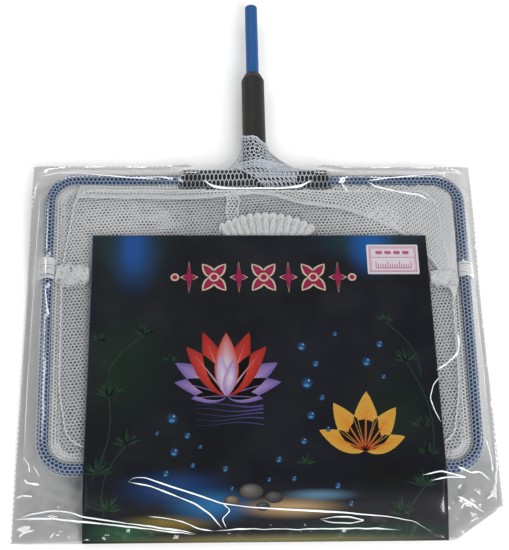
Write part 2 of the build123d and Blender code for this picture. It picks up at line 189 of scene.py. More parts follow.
# Black tee and neck sleeve
# Soft PVC: the tee is moulded over the wire ends and the sleeve is pushed on hot over its stem. The mould
# and the shrinking leave a satin skin with a fine leathery grain, near black with a warm cast.
black_vinyl, tree, shader = start_material("moulded_black_vinyl")
skin_grain = 0.35
coords = add_node(tree, "ShaderNodeTexCoord")
grain = add_node(
    tree, "ShaderNodeTexNoise", {"Vector": coords.outputs["Object"], "Scale": 1 / (skin_grain * mm), "Detail": 4.0}
)
rub = add_node(
    tree, "ShaderNodeTexNoise", {"Vector": coords.outputs["Object"], "Scale": 0.12 / mm, "Detail": 2.0}
)
vinyl_tone = add_node(
    tree, "ShaderNodeMix", {"Factor": rub.outputs["Fac"], "A": linear("#0f100d"), "B": linear("#1b1c18")},
    data_type="RGBA",
)
tree.links.new(result(vinyl_tone), shader.inputs["Base Color"])
shader.inputs["Roughness"].default_value = 0.5
shader.inputs["Specular IOR Level"].default_value = 0.25
bump = add_node(tree, "ShaderNodeBump", {"Height": grain.outputs["Fac"], "Strength": 0.35, "Distance": 0.06 * mm})
tree.links.new(bump.outputs["Normal"], shader.inputs["Normal"])
for name in ("tee_moulding", "neck_sleeve"):
    finish_node(name, black_vinyl)

# Knitted hem round the frame
# Warp-knitted nylon netting with six-sided holes about a millimetre across. A strip of it is wrapped
# round the tube and the tee's arms, pulled tight, and sewn to the bag just inside the frame.
twist_length = 0.6


def soft_patches(tree, place, tone, patches):
    """A tone with oval patches of other colours laid over it, each strongest at its middle."""
    for (x, y), (width, height), code, strength in patches:
        moved = add_node(tree, "ShaderNodeVectorMath", {"Vector": place}, operation="SUBTRACT")
        moved.inputs[1].default_value = (x * mm, y * mm, 0)
        shaped = add_node(tree, "ShaderNodeVectorMath", operation="MULTIPLY")
        tree.links.new(moved.outputs["Vector"], shaped.inputs[0])
        shaped.inputs[1].default_value = (1 / (width * mm), 1 / (height * mm), 0)
        far = add_node(tree, "ShaderNodeVectorMath", operation="LENGTH")
        tree.links.new(shaped.outputs["Vector"], far.inputs[0])
        fade = add_node(tree, "ShaderNodeMapRange", {"Value": far.outputs["Value"], "From Min": 1.0, "From Max": 0.0,
                                                     "To Min": 0.0, "To Max": strength},
                        interpolation_type="SMOOTHSTEP")
        patched = add_node(tree, "ShaderNodeMix", {"Factor": fade.outputs["Result"], "A": tone, "B": linear(code)},
                           data_type="RGBA")
        tone = result(patched)
    return tone


def nylon_yarn(name, dull, bright, lets_through, patches=()):
    """A material of white nylon yarn between two tones, with the share of light that it lets through."""
    material, tree, shader = start_material(name)
    coords = add_node(tree, "ShaderNodeTexCoord")
    twist = add_node(tree, "ShaderNodeTexNoise", {"Vector": coords.outputs["Object"], "Scale": 1 / (twist_length * mm)})
    twisted = add_node(tree, "ShaderNodeMix", {"Factor": twist.outputs["Fac"], "A": linear(dull), "B": linear(bright)},
                       data_type="RGBA")
    tone = soft_patches(tree, coords.outputs["Object"], result(twisted), patches)
    tree.links.new(tone, shader.inputs["Base Color"])
    shader.inputs["Roughness"].default_value = 0.5
    shader.inputs["IOR"].default_value = 1.53
    shader.inputs["Sheen Weight"].default_value = 0.25
    shader.inputs["Sheen Roughness"].default_value = 0.4
    through = add_node(tree, "ShaderNodeBsdfTranslucent", {"Color": tone})
    yarn = add_node(tree, "ShaderNodeMixShader")
    yarn.inputs[0].default_value = lets_through
    tree.links.new(shader.outputs["BSDF"], yarn.inputs[1])
    tree.links.new(through.outputs["BSDF"], yarn.inputs[2])
    tree.links.new(yarn.outputs["Shader"], tree.nodes["Material Output"].inputs["Surface"])
    return material


white_nylon = nylon_yarn("knitted_white_nylon", "#f2f3f5", "#fcfcfd", 0.12)
# The same white nylon in a darker bluish grey for the netting on the tube and the neck: painted shade
wrapped_nylon_painted_shade = nylon_yarn("wrapped_white_nylon_painted_shade", "#b9c1ca", "#d3d8de", 0.2)

frame_top_half = 49.3
frame_foot_half = 47.7
frame_half_height = 36.7
corner_radius = 6.4
bar_level = 3.8
tube_reach = 1.42
arm_reach = 2.68
arm_end = 17.5
sleeve_pitch = 1.0
hole_pitch = 0.88
strand_radius = 0.165
sleeve_strand = 0.115


def side_half(y):
    """Half the frame's width between bar centres at a height y."""
    lean = (frame_top_half - frame_foot_half) / (2 * frame_half_height)
    return frame_foot_half + lean * (y + frame_half_height)


def frame_line(inset, step):
    """Points along the frame's centre line drawn in by an inset, from the middle of the top bar round to the left."""
    round_corner = corner_radius - inset / 2
    top = frame_half_height - inset
    corners = [(-(frame_top_half - inset), top), (-(frame_foot_half - inset), -top),
               (frame_foot_half - inset, -top), (frame_top_half - inset, top)]
    points = [(0.0, top)]
    for i, corner in enumerate(corners):
        before = np.array(corners[i - 1] if i else (0.0, top))
        after = np.array(corners[i + 1] if i < 3 else (0.0, top))
        here = np.array(corner)
        to_before = (before - here) / np.linalg.norm(before - here)
        to_after = (after - here) / np.linalg.norm(after - here)
        half_turn = math.acos(float(np.clip(to_before @ to_after, -1, 1))) / 2
        reach = round_corner / math.tan(half_turn)
        centre = here + (to_before + to_after) / np.linalg.norm(to_before + to_after) * (
            round_corner / math.sin(half_turn))
        start, end = here + to_before * reach - centre, here + to_after * reach - centre
        sweep = math.pi - 2 * half_turn
        for t in np.linspace(0, 1, 13):
            angle = math.atan2(start[1], start[0]) + t * sweep
            points.append(tuple(centre + round_corner * np.array((math.cos(angle), math.sin(angle)))))
    points.append((0.0, top))
    points = np.array(points)
    lengths = np.concatenate([[0], np.cumsum(np.linalg.norm(np.diff(points, axis=0), axis=1))])
    stations = np.linspace(0, lengths[-1], int(lengths[-1] / step))
    return np.stack([np.interp(stations, lengths, points[:, k]) for k in (0, 1)], axis=1), lengths[-1]


def hexagon_grid(width, height, pitch):
    """Points and edges of a net of six-sided holes over a width and a height, in the net's own plane."""
    side = pitch / math.sqrt(3)
    columns = int(width / (pitch / 2)) + 1
    rows = int(height / (1.5 * side)) + 1
    i, j = np.meshgrid(np.arange(columns), np.arange(rows))
    low = (i + j) % 2
    points = np.stack([i * pitch / 2, j * 1.5 * side + np.where(low == 0, side / 2, 0.0)], axis=-1)
    number = j * columns + i
    along = np.stack([number[:, :-1].ravel(), number[:, 1:].ravel()], axis=1)
    rises = (low == 0)[:-1]
    up = np.stack([number[:-1][rises], number[1:][rises]], axis=1)
    return points.reshape(-1, 2), np.concatenate([along, up])


def strands(points, edges, up, radius, flat=0.25):
    """Three-sided strands along the edges between points, each standing square to the surface's up directions."""
    a, b = points[edges[:, 0]], points[edges[:, 1]]
    run = b - a
    length = np.linalg.norm(run, axis=1, keepdims=True)
    run = run / np.maximum(length, 1e-9)
    top = up[edges[:, 0]] + up[edges[:, 1]]
    side = np.cross(run, top)
    side /= np.maximum(np.linalg.norm(side, axis=1, keepdims=True), 1e-9)
    top = np.cross(side, run)
    a, b = a - run * radius * 0.4, b + run * radius * 0.4
    corners = [(-1.0, -0.5 * flat), (1.0, -0.5 * flat), (0.0, flat)]
    rings = [end + radius * (c * side + h * top) for end in (a, b) for c, h in corners]
    verts = np.stack(rings, axis=1).reshape(-1, 3)
    start = 6 * np.arange(len(edges))[:, None]
    quads = [(0, 1, 4, 3), (1, 2, 5, 4), (2, 0, 3, 5)]
    return verts, np.concatenate([start + np.array(q) for q in quads]).tolist()


def join(parts):
    """One list of points and one of faces from several."""
    verts, faces, base = [], [], 0
    for points, polygons in parts:
        verts.append(np.asarray(points))
        faces += [tuple(base + i for i in polygon) for polygon in polygons]
        base += len(points)
    return np.concatenate(verts), faces


hoop, hoop_length = frame_line(0, 0.25)
hoop_run = np.gradient(hoop, axis=0)
hoop_run /= np.linalg.norm(hoop_run, axis=1, keepdims=True)
hoop_out = np.stack([hoop_run[:, 1], -hoop_run[:, 0]], axis=1)


def on_hoop(along):
    """Place and outward direction on the hoop at distances along it."""
    stations = np.linspace(0, hoop_length, len(hoop))
    place = np.stack([np.interp(along, stations, hoop[:, k]) for k in (0, 1)], axis=-1)
    out = np.stack([np.interp(along, stations, hoop_out[:, k]) for k in (0, 1)], axis=-1)
    return place, out / np.linalg.norm(out, axis=-1, keepdims=True)


def smooth_step(value, low, high):
    """0 below low, 1 above high, and a soft rise between."""
    t = np.clip((value - low) / (high - low), 0, 1)
    return t * t * (3 - 2 * t)


# The sleeve: ten holes round the bar, stretched wide where it goes over the arms
holes_round = 10
sleeve_grid, sleeve_edges = hexagon_grid(hoop_length, holes_round * 1.5 * sleeve_pitch / math.sqrt(3), sleeve_pitch)
row_height = 1.5 * sleeve_pitch / math.sqrt(3)
place, out = on_hoop(sleeve_grid[:, 0])
on_arm = (np.abs(place[:, 0]) < arm_end + 1) & (place[:, 1] > frame_half_height - 1)
arm_share = np.where(on_arm, 1 - smooth_step(np.abs(place[:, 0]), arm_end, arm_end + 1), 0)
reach = tube_reach + (arm_reach - tube_reach) * arm_share
angle = 2 * math.pi * sleeve_grid[:, 1] / (holes_round * row_height) + 0.25 * np.sin(sleeve_grid[:, 0] / 23)
outward = np.stack([out[:, 0] * np.cos(angle), out[:, 1] * np.cos(angle), np.sin(angle)], axis=1)
sleeve_points = np.stack([place[:, 0], place[:, 1], np.full(len(place), bar_level)], axis=1) + outward * reach[:, None]
near_neck = (np.abs(sleeve_points[:, 0]) < 3.1) & (sleeve_points[:, 1] > frame_half_height + 0.6)
kept = ~(near_neck[sleeve_edges[:, 0]] | near_neck[sleeve_edges[:, 1]])
sleeve = strands(sleeve_points, sleeve_edges[kept], outward, sleeve_strand, 1.0)

# The seam allowance: two thicknesses of the netting lying against each other inside the frame
allowance_depth = 2.7


def allowance(level, shift, seed):
    """One thickness of the seam allowance at a level."""
    grid, edges = hexagon_grid(hoop_length, allowance_depth, hole_pitch)
    place, out = on_hoop((grid[:, 0] + shift) % hoop_length)
    arms = (np.abs(place[:, 0]) < arm_end + 1) & (place[:, 1] > frame_half_height - 1)
    start = np.where(arms, arm_reach - 0.2, tube_reach - 0.25)
    inset = start + grid[:, 1]
    rng = np.random.default_rng(seed)
    wave = 0.12 * np.sin(grid[:, 0] / 3.1 + rng.uniform(0, 6)) * smooth_step(grid[:, 1], 0, allowance_depth)
    flat = place - out * inset[:, None]
    points = np.column_stack([flat, level + wave])
    long = np.linalg.norm(points[edges[:, 0]] - points[edges[:, 1]], axis=1) > 2 * hole_pitch
    return strands(points, edges[~long], np.tile((0.0, 0.0, 1.0), (len(points), 1)), strand_radius)


net_hem = add_piece("hem_netting", *sleeve, wrapped_nylon_painted_shade, smooth=False)
allowance_points, allowance_faces = join([allowance(3.95, 0.0, 1), allowance(3.65, 0.4, 2)])
net_allowance = add_piece("seam_allowance_netting", allowance_points, allowance_faces, white_nylon, smooth=False)
for net in (net_hem, net_allowance):
    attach(net, "net")
    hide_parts("net_hem")

# The net bag, folded flat
# One tube of the same netting, sewn shut at its foot and side, lies folded inside the frame in two layers.
# The knit runs at a slight slant in each layer, and shallow folds run out from the gathered seam.


def inside_frame(points, inset):
    """Distance from the frame's line drawn in by an inset, positive inside it."""
    x, y = points[:, 0], points[:, 1]
    corner = corner_radius - inset / 2
    over_x = np.abs(x) - (side_half(y) - inset - corner)
    over_y = np.abs(y) - (frame_half_height - inset - corner)
    outside = np.hypot(np.maximum(over_x, 0), np.maximum(over_y, 0)) + np.minimum(np.maximum(over_x, over_y), 0)
    return corner - outside


def folds(x, y, seed, height):
    """Soft crossing folds of a limp sheet: a few long waves of uneven direction."""
    rng = np.random.default_rng(seed)
    total = np.zeros_like(x)
    for length in (38, 27, 19, 13, 9):
        turn = rng.uniform(0, math.pi)
        phase = rng.uniform(0, 2 * math.pi)
        total += length / 38 * np.sin(2 * math.pi * (x * math.cos(turn) + y * math.sin(turn)) / length + phase)
    return height * total / 1.6


def flat_net(inset, slant, seed, level, height, pitch=hole_pitch):
    """A layer of netting inside the frame, its folds about a level, dying out towards its sewn edge."""
    reach = 2 * frame_top_half
    grid, edges = hexagon_grid(reach, reach, pitch)
    grid = grid - reach / 2
    turn = math.radians(slant)
    x = grid[:, 0] * math.cos(turn) - grid[:, 1] * math.sin(turn)
    y = grid[:, 0] * math.sin(turn) + grid[:, 1] * math.cos(turn)
    x = x + 0.25 * np.sin(y / 5.1 + seed) + 0.1 * np.sin(x / 2.9)
    y = y + 0.25 * np.sin(x / 6.3 + 2 * seed)
    depth = inside_frame(np.stack([x, y], axis=1), inset)
    keep = (depth > 0)[edges].all(axis=1)
    z = level + folds(x, y, seed, height) * smooth_step(depth, 0, 9)
    up = np.column_stack([np.zeros(len(x)), np.zeros(len(x)), np.ones(len(x))])
    return strands(np.column_stack([x, y, z]), edges[keep], up, strand_radius)


sewn_inset = 3.0
# The netting is painted whiter in the two upper corners: painted light, where the top of the net stands brighter
painted_light_corners = (((-34.0, 24.0), (26, 22), "#fafbfc", 1.0), ((32.0, 24.0), (28, 24), "#fafbfc", 1.0))
# The bag's netting is a greyer copy of the same white nylon: painted shade
bag_nylon_painted_shade_and_light = nylon_yarn("folded_nylon_painted_shade_and_light", "#d5d7db", "#e2e4e8", 0.15, painted_light_corners)
for name, node, slant, seed, level, height in (
    ("upper_netting", "net_top_layer", 4, 3, 4.2, 0.35),
    ("lower_netting", "net_under_layer", -7, 8, 3.2, 0.7),
):
    net_points, net_faces = flat_net(sewn_inset, slant, seed, level, height)
    net = add_piece(name, net_points, net_faces, bag_nylon_painted_shade_and_light, smooth=False)
    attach(net, "net")
    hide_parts(node)

# Hem stitching
# A chain stitch in polyester thread holds the allowance to the bag just inside the frame. It draws the
# netting up into a thin white line with a loop at every stitch.
white_thread, tree, shader = start_material("polyester_thread")
ply_length = 0.35
coords = add_node(tree, "ShaderNodeTexCoord")
ply = add_node(tree, "ShaderNodeTexNoise", {"Vector": coords.outputs["Object"], "Scale": 1 / (ply_length * mm)})
thread_tone = add_node(
    tree, "ShaderNodeMix", {"Factor": ply.outputs["Fac"], "A": linear("#e9ebee"), "B": linear("#fbfbfb")},
    data_type="RGBA",
)
tree.links.new(result(thread_tone), shader.inputs["Base Color"])
shader.inputs["Roughness"].default_value = 0.45
shader.inputs["Sheen Weight"].default_value = 0.3
thread_radius = 0.14


def thread(points, radius=thread_radius, sides=5):
    """A round thread along points."""
    points = np.asarray(points, float)
    run = np.gradient(points, axis=0)
    run /= np.maximum(np.linalg.norm(run, axis=1, keepdims=True), 1e-9)
    up = np.tile((0.0, 0.0, 1.0), (len(points), 1))
    up[np.abs(run[:, 2]) > 0.9] = (1.0, 0.0, 0.0)
    side = np.cross(run, up)
    side /= np.linalg.norm(side, axis=1, keepdims=True)
    up = np.cross(side, run)
    angles = np.arange(sides) * 2 * math.pi / sides
    ring = side[:, None] * np.cos(angles)[:, None] + up[:, None] * np.sin(angles)[:, None]
    verts = (points[:, None] + np.reshape(radius, (-1, 1, 1)) * ring).reshape(-1, 3)
    faces = []
    for i in range(len(points) - 1):
        for k in range(sides):
            m = (k + 1) % sides
            faces.append((i * sides + k, i * sides + m, (i + 1) * sides + m, (i + 1) * sides + k))
    faces.append(tuple(range(sides))[::-1])
    faces.append(tuple(range((len(points) - 1) * sides, len(points) * sides)))
    return verts, faces


def chain_stitch(line, level, stitch, width):
    """A chain stitch along a line of points: one straight thread and one that loops from side to side."""
    steps = np.linalg.norm(np.diff(line, axis=0), axis=1)
    along = np.concatenate([[0], np.cumsum(steps)])
    stations = np.arange(0, along[-1], stitch / 6)
    x, y = (np.interp(stations, along, line[:, k]) for k in (0, 1))
    run = np.gradient(np.stack([x, y], axis=1), axis=0)
    run /= np.linalg.norm(run, axis=1, keepdims=True)
    swing = width * np.sin(2 * math.pi * stations / stitch)
    lift = 0.08 * np.cos(4 * math.pi * stations / stitch)
    looped = np.column_stack([x - run[:, 1] * swing, y + run[:, 0] * swing, level + 0.12 + lift])
    plain = np.column_stack([x, y, np.full(len(x), level)])
    return [thread(plain), thread(looped)]


stitch_line, _ = frame_line(sewn_inset + 0.35, 0.4)
shoulder = smooth_step(stitch_line[:, 1], 8, 33) * smooth_step(np.abs(stitch_line[:, 0]), 30, 46)
stitch_line[:, 0] -= np.sign(stitch_line[:, 0]) * 2.6 * shoulder
foot = smooth_step(-stitch_line[:, 1], 15, 34) * smooth_step(np.abs(stitch_line[:, 0]), 24, 44)
stitch_line -= np.column_stack([np.sign(stitch_line[:, 0]), np.full(len(foot), -1.0)]) * 1.8 * foot[:, None]
clear_of_arms = (np.abs(stitch_line[:, 0]) > 0.5) | (stitch_line[:, 1] < 0)
stitch_points, stitch_faces = join(chain_stitch(stitch_line[clear_of_arms], 4.5, 1.5, 0.2))
hem_stitching = add_piece("hem_stitching", stitch_points, stitch_faces, white_thread)
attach(hem_stitching, "net")
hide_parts("hem_seam")

# Turned-in netting below the top bar
# The free edge of the netting is folded in under the top bar and lies on the bag. Its folded edge is a
# pale ridge that runs level below the tee and sweeps down to the right-hand side.
ridge_line = [(-43.4, 31.4), (-33, 31.3), (-20.5, 31.1), (-13.3, 31.2), (-6.1, 32.0), (0.5, 32.6), (4.2, 32.2),
              (7.5, 30.9), (10.7, 29.7), (20.3, 28.6), (28.5, 25.2), (35.6, 20.8), (41.0, 14.5), (44.3, 8.5),
              (45.8, 3.0)]
ridge = np.array(ridge_line)
ridge_along = np.concatenate([[0], np.cumsum(np.linalg.norm(np.diff(ridge, axis=0), axis=1))])


def on_ridge(along):
    """Place on the ridge at distances along it, smoothed between its points."""
    fine = np.linspace(0, ridge_along[-1], 200)
    raw = np.stack([np.interp(fine, ridge_along, ridge[:, k]) for k in (0, 1)], axis=1)
    kernel = np.hanning(15) / np.hanning(15).sum()
    padded = np.pad(raw, ((7, 7), (0, 0)), mode="edge")
    soft = np.stack([np.convolve(padded[:, k], kernel, mode="valid") for k in (0, 1)], axis=1)
    return np.stack([np.interp(along, fine, soft[:, k]) for k in (0, 1)], axis=-1)


grid, edges = hexagon_grid(ridge_along[-1], 22, hole_pitch)
foot = on_ridge(grid[:, 0])
head = np.stack([foot[:, 0] + grid[:, 1] * 0.25, foot[:, 1] + grid[:, 1]], axis=1)
depth = inside_frame(head, tube_reach + 0.3)
over_arm = (np.abs(head[:, 0]) < arm_end + 1.2) & (head[:, 1] > frame_half_height - arm_reach - 0.15)
keep = ((depth > 0) & ~over_arm)[edges].all(axis=1)
flap_points = np.column_stack([head, 4.62 + 0.1 * np.sin(grid[:, 0] / 2.1)])
up = np.tile((0.0, 0.0, 1.0), (len(flap_points), 1))
flap = strands(flap_points, edges[keep], up, strand_radius)
roll_stations = np.arange(0, ridge_along[-1], 0.5)
roll_place = on_ridge(roll_stations)
roll = []
for offset, level in ((0.0, 4.72), (0.22, 4.86), (0.42, 4.74)):
    jitter = 0.06 * np.sin(roll_stations * (2.1 + offset) + 9 * offset)
    roll.append(thread(np.column_stack([roll_place[:, 0], roll_place[:, 1] + offset + jitter,
                                        np.full(len(roll_stations), level)]), 0.13))
flap_points, flap_faces = join([flap, *roll])
turned_in = add_piece("turned_in_netting", flap_points, flap_faces, white_nylon, smooth=False)
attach(turned_in, "net")
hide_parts("hem_flap")

# Gathered foot of the bag
# The foot of the net bag is drawn together on its sewing thread, so the netting stands in soft pleats that
# fan out from a centre under the card. Many layers lie together there, and it looks almost solid white.
fan_centre = (2.4, 4.0)
fan_radius = 22.4
fan_root = 11
fan_half_angle = math.radians(31)
fan_pleats = 13
rng = np.random.default_rng(5)
pleat_phase = rng.uniform(-0.5, 0.5, 4)


def fan_surface(turn, reach):
    """Place on the fan at a turn from its middle and a reach from its centre."""
    beat = turn / fan_half_angle * fan_pleats * math.pi
    beat = beat + 0.8 * np.sin(2.3 * turn / fan_half_angle + pleat_phase[0] * 6) + 0.25 * np.sin(reach / 2.7)
    scallop = 0.9 * np.abs(np.cos(beat / 2)) ** 0.6 + 0.4 * np.sin(3.1 * turn + pleat_phase[1] * 6)
    radius = np.minimum(reach, fan_radius - 0.9 + scallop)
    swell = smooth_step(reach, fan_root, fan_radius) * 0.75
    lift = 4.5 + swell * np.abs(np.cos(beat / 2)) ** 0.7
    return np.stack([fan_centre[0] + radius * np.sin(turn), fan_centre[1] + radius * np.cos(turn), lift], axis=-1)


fan_parts = []
for layer in range(3):
    arc_length = 2 * fan_half_angle * fan_radius
    grid, edges = hexagon_grid(arc_length * 1.35, fan_radius - fan_root, 0.8)
    turn = (grid[:, 0] / (arc_length * 1.35) - 0.5) * 2 * fan_half_angle
    points = fan_surface(turn + 0.008 * layer, fan_root + grid[:, 1] + 0.15 * layer)
    points[:, 2] += 0.09 * layer - 0.06
    up = np.tile((0.0, 0.0, 1.0), (len(points), 1))
    fan_parts.append(strands(points, edges, up, 0.13))
for layer in range(5):
    turn = np.linspace(-fan_half_angle, fan_half_angle, 240)
    rim = fan_surface(turn, np.full(240, fan_radius + 1.0))
    rim[:, 1] -= 0.17 * layer
    rim[:, 2] += 0.14 - 0.03 * layer
    fan_parts.append(thread(rim, 0.16))
for crest in np.linspace(-0.97, 0.97, 2 * fan_pleats + 1):
    reach = np.linspace(fan_root + 4, fan_radius + 0.4, 30)
    lean = crest * fan_half_angle + 0.02 * np.sin(reach / 1.9 + 9 * crest) - 0.004 * (fan_radius - reach)
    fold = fan_surface(lean, reach)
    fold[:, 2] += 0.16
    fan_parts.append(thread(fold, 0.14))
fan_points, fan_faces = join(fan_parts)
gather = add_piece("gathered_foot", fan_points, fan_faces, white_nylon, smooth=False)
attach(gather, "net")
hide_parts("bottom_gather")

# Tail of the bag's seam
# Where the seam of the bag ends, a narrow doubled strip of netting runs from the turned-in edge down to the
# gathered foot, its two rows of holes edged by the chain of thread.
tail_foot, tail_head = 25.4, 31.9
tail_middle, tail_half = -5.6, 1.25
grid, edges = hexagon_grid(2 * tail_half, tail_head - tail_foot, hole_pitch)
tail_x = tail_middle + grid[:, 0] - tail_half + 0.18 * np.sin(grid[:, 1] * 1.3)
tail_points = np.column_stack([tail_x, tail_foot + grid[:, 1], np.full(len(grid), 4.72)])
up = np.tile((0.0, 0.0, 1.0), (len(tail_points), 1))
tail_parts = [strands(tail_points, edges, up, 0.15)]
run = np.arange(tail_foot, tail_head, 0.12)
for side in (-1, 1):
    for phase in (0, math.pi):
        line_x = tail_middle + side * (tail_half + 0.12) + 0.16 * np.sin(run * 4.6 + phase) + 0.18 * np.sin(run * 1.3)
        tail_parts.append(thread(np.column_stack([line_x, run, np.full(len(run), 4.8)]), 0.11))
tail_points, tail_faces = join(tail_parts)
seam_end = add_piece("seam_tail_netting", tail_points, tail_faces, white_nylon, smooth=False)
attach(seam_end, "net")
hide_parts("seam_tail")

# Side seams of the bag
# Both ends of the bag's side seam are lashed to the side bars with many turns of soft overlock thread. Their
# loose tongues of gauzy loops lie on the netting beside the bars.


def lashing(side, low, high, seed):
    """Turns of thread round a side bar between two heights."""
    rng = np.random.default_rng(seed)
    turns = int((high - low) / 0.27)
    parts = []
    for layer in range(2):
        angle = np.arange(0, turns * 2 * math.pi, math.pi / 9)
        wander = np.interp(angle, np.linspace(0, angle[-1], turns * 2), rng.uniform(-0.24, 0.24, turns * 2))
        y = low + (high - low) * angle / angle[-1] + wander
        reach = 1.76 + 0.13 * layer + np.interp(angle, np.linspace(0, angle[-1], turns * 3), rng.uniform(-0.05, 0.09, turns * 3))
        x = side * side_half(y) + reach * np.cos(angle)
        z = bar_level + reach * np.sin(angle)
        parts.append(thread(np.column_stack([x, y, z]), 0.12, 4))
    return parts


def tongue(side, inner, low, high, seed):
    """Loose loops of thread beside a side bar, from the bar in to an inner end."""
    rng = np.random.default_rng(seed)
    outer = frame_foot_half + 0.9 - tube_reach - 0.3
    middle, half = (low + high) / 2, (high - low) / 2
    parts = []
    for _ in range(34):
        count = int(rng.integers(7, 11))
        t = np.linspace(0, 1, count)
        spread = 0.45 + 0.5 * np.sin(math.pi * (0.15 + 0.75 * t))
        x = outer + (inner - outer) * t + rng.uniform(-0.7, 0.7, count)
        y = middle + half * spread * rng.uniform(-1, 1, count)
        x = np.clip(x, inner, outer)
        z = rng.uniform(4.75, 5.12, count)
        fine = np.linspace(0, 1, count * 9)
        curve = np.stack([np.interp(fine, t, axis) for axis in (x, y, z)], axis=1)
        kernel = np.hanning(13) / np.hanning(13).sum()
        padded = np.pad(curve, ((6, 6), (0, 0)), mode="edge")
        soft = np.stack([np.convolve(padded[:, k], kernel, mode="valid") for k in range(3)], axis=1)
        soft[:, 0] *= side
        parts.append(thread(soft, 0.085, 4))
    grid, edges = hexagon_grid(outer - inner, high - low, 0.8)
    oval = ((grid[:, 0] / (outer - inner) - 0.5) / 0.55) ** 2 + ((grid[:, 1] / (high - low) - 0.5) / 0.5) ** 2 < 1
    points = np.column_stack([side * (inner + grid[:, 0]), low + grid[:, 1], np.full(len(grid), 4.7)])
    up = np.tile((0.0, 0.0, 1.0), (len(points), 1))
    parts.append(strands(points, edges[oval[edges].all(axis=1)], up, 0.1))
    return parts


for name, node, side, bar_low, bar_high, inner, low, high, seed in (
    ("left_side_lashing", "side_seam_left", -1, 9.3, 14.9, 38.9, 6.7, 14.3, 21),
    ("right_side_lashing", "side_seam_right", 1, 9.9, 13.5, 40.4, 6.5, 12.3, 22),
):
    lash_points, lash_faces = join(lashing(side, bar_low, bar_high, seed) + tongue(side, inner, low, high, seed + 5))
    lash = add_piece(name, lash_points, lash_faces, white_thread)
    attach(lash, "net")
    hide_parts(node)

# Netting drawn up round the neck
# The spare netting over the tee is pulled up the neck as a short sock. It stands off both sides of the neck
# as webs, its rim runs at a slant, and its folds fall across the arms down to the right.
sock_foot = 39.2
neck_wrap_radius = 3.05
web_left, web_right = 7.3, 11.2


def sock_point(turn, share, reach_out):
    """Place on the sock at a turn round the neck, 0 at the right side, and a share of the way up to its rim."""
    rim = 47.3 - 1.35 * np.cos(turn) + 0.25 * np.sin(5 * turn)
    y = sock_foot + (rim - sock_foot) * share
    height = y - sock_foot
    side_width = np.where(np.cos(turn) > 0, web_right, web_left)
    side_fall = np.where(np.cos(turn) > 0, 6.6, 6.4)
    narrow = np.clip(height / side_fall, 0, 1)
    width = neck_wrap_radius + 0.02 + (side_width - neck_wrap_radius) * (1 - narrow) ** 1.35
    half_sweep = np.arccos(np.clip(neck_wrap_radius / width, -1, 1))
    off_side = np.abs(np.where(np.cos(turn) > 0, np.arctan2(np.sin(turn), np.cos(turn)),
                               np.arctan2(np.sin(turn), -np.cos(turn))))
    radial = np.where(off_side < half_sweep, neck_wrap_radius / np.cos(half_sweep - off_side), neck_wrap_radius)
    radial = np.minimum(radial, width) + reach_out
    pucker = 0.06 * np.sin(9 * turn + height) * narrow
    return np.stack([(radial + pucker) * np.cos(turn), y, bar_level + (radial + pucker) * np.sin(turn)], axis=-1)


def even_turns(count):
    """Turns round the sock's foot that give strands of even width along its wide section."""
    turn = np.linspace(0, 2 * math.pi, 720)
    ring = sock_point(turn, np.full(720, 0.25), 0.0)
    along = np.concatenate([[0], np.cumsum(np.linalg.norm(np.diff(ring, axis=0), axis=1))])
    return np.interp(np.arange(count) * along[-1] / count, along, turn), along[-1]


sock_parts = []
_, sock_girth = even_turns(10)
for layer, slant, reach_out, pitch in ((0, 0.25, 0.0, 1.15), (1, -0.5, 0.16, 1.15)):
    grid, edges = hexagon_grid(sock_girth, 8.2, pitch)
    stations, _ = even_turns(721)
    turn = np.interp((grid[:, 0] + slant * grid[:, 1] + 50 * sock_girth) % sock_girth,
                     np.linspace(0, sock_girth, 721), stations)
    share = np.clip(grid[:, 1] / 8.0, 0, 1)
    points = sock_point(turn, share, reach_out)
    points[:, 2] = np.maximum(points[:, 2], 0.55)
    centre = np.column_stack([np.zeros(len(points)), points[:, 1], np.full(len(points), bar_level)])
    outward = points - centre
    outward /= np.linalg.norm(outward, axis=1, keepdims=True)
    long = np.linalg.norm(points[edges[:, 0]] - points[edges[:, 1]], axis=1) > 2.2 * pitch
    sock_parts.append(strands(points, edges[~long], outward, 0.085))
for lift in (0.0, 0.17, 0.33):
    turn = np.linspace(0, 2 * math.pi, 200)
    rim = sock_point(turn, np.full(200, 1.0), 0.08)
    rim[:, 1] -= lift + 0.1 * np.sin(17 * turn + 9 * lift)
    sock_parts.append(thread(rim, 0.1))

# The part that falls over the arms, in two crossed layers that slant down to the right
apron_low, apron_high = 33.9, 41.0
arm_cover = 3.0


def sock_front(x, y):
    """Height of the sock's front above the neck's middle, at a place across it and up it."""
    height = np.maximum(y - sock_foot, 0)
    side_width = np.where(x > 0, web_right, web_left)
    narrow = np.clip(height / 6.5, 0, 1)
    width = neck_wrap_radius + 0.02 + (side_width - neck_wrap_radius) * (1 - narrow) ** 1.35
    tangent = np.arccos(neck_wrap_radius / width)
    off = np.abs(x)
    on_web = (neck_wrap_radius - off * np.cos(tangent)) / np.maximum(np.sin(tangent), 0.05)
    on_neck = np.sqrt(np.maximum(neck_wrap_radius ** 2 - off ** 2, 0))
    return np.maximum(np.where(off > neck_wrap_radius * np.cos(tangent), on_web, on_neck), 0)


def apron_level(x, y):
    """Height of the netting over the arms and up to the foot of the sock."""
    over_arm = np.sqrt(np.maximum(arm_cover ** 2 - (y - frame_half_height) ** 2, 0.9))
    rise = np.clip((y - frame_half_height) / 3.4, 0, 1)
    bridge = arm_cover + (sock_front(x, np.maximum(y, 40.1)) - arm_cover) * rise
    return bar_level + np.where(y > frame_half_height, np.maximum(over_arm * (y < 39.3), bridge), over_arm)


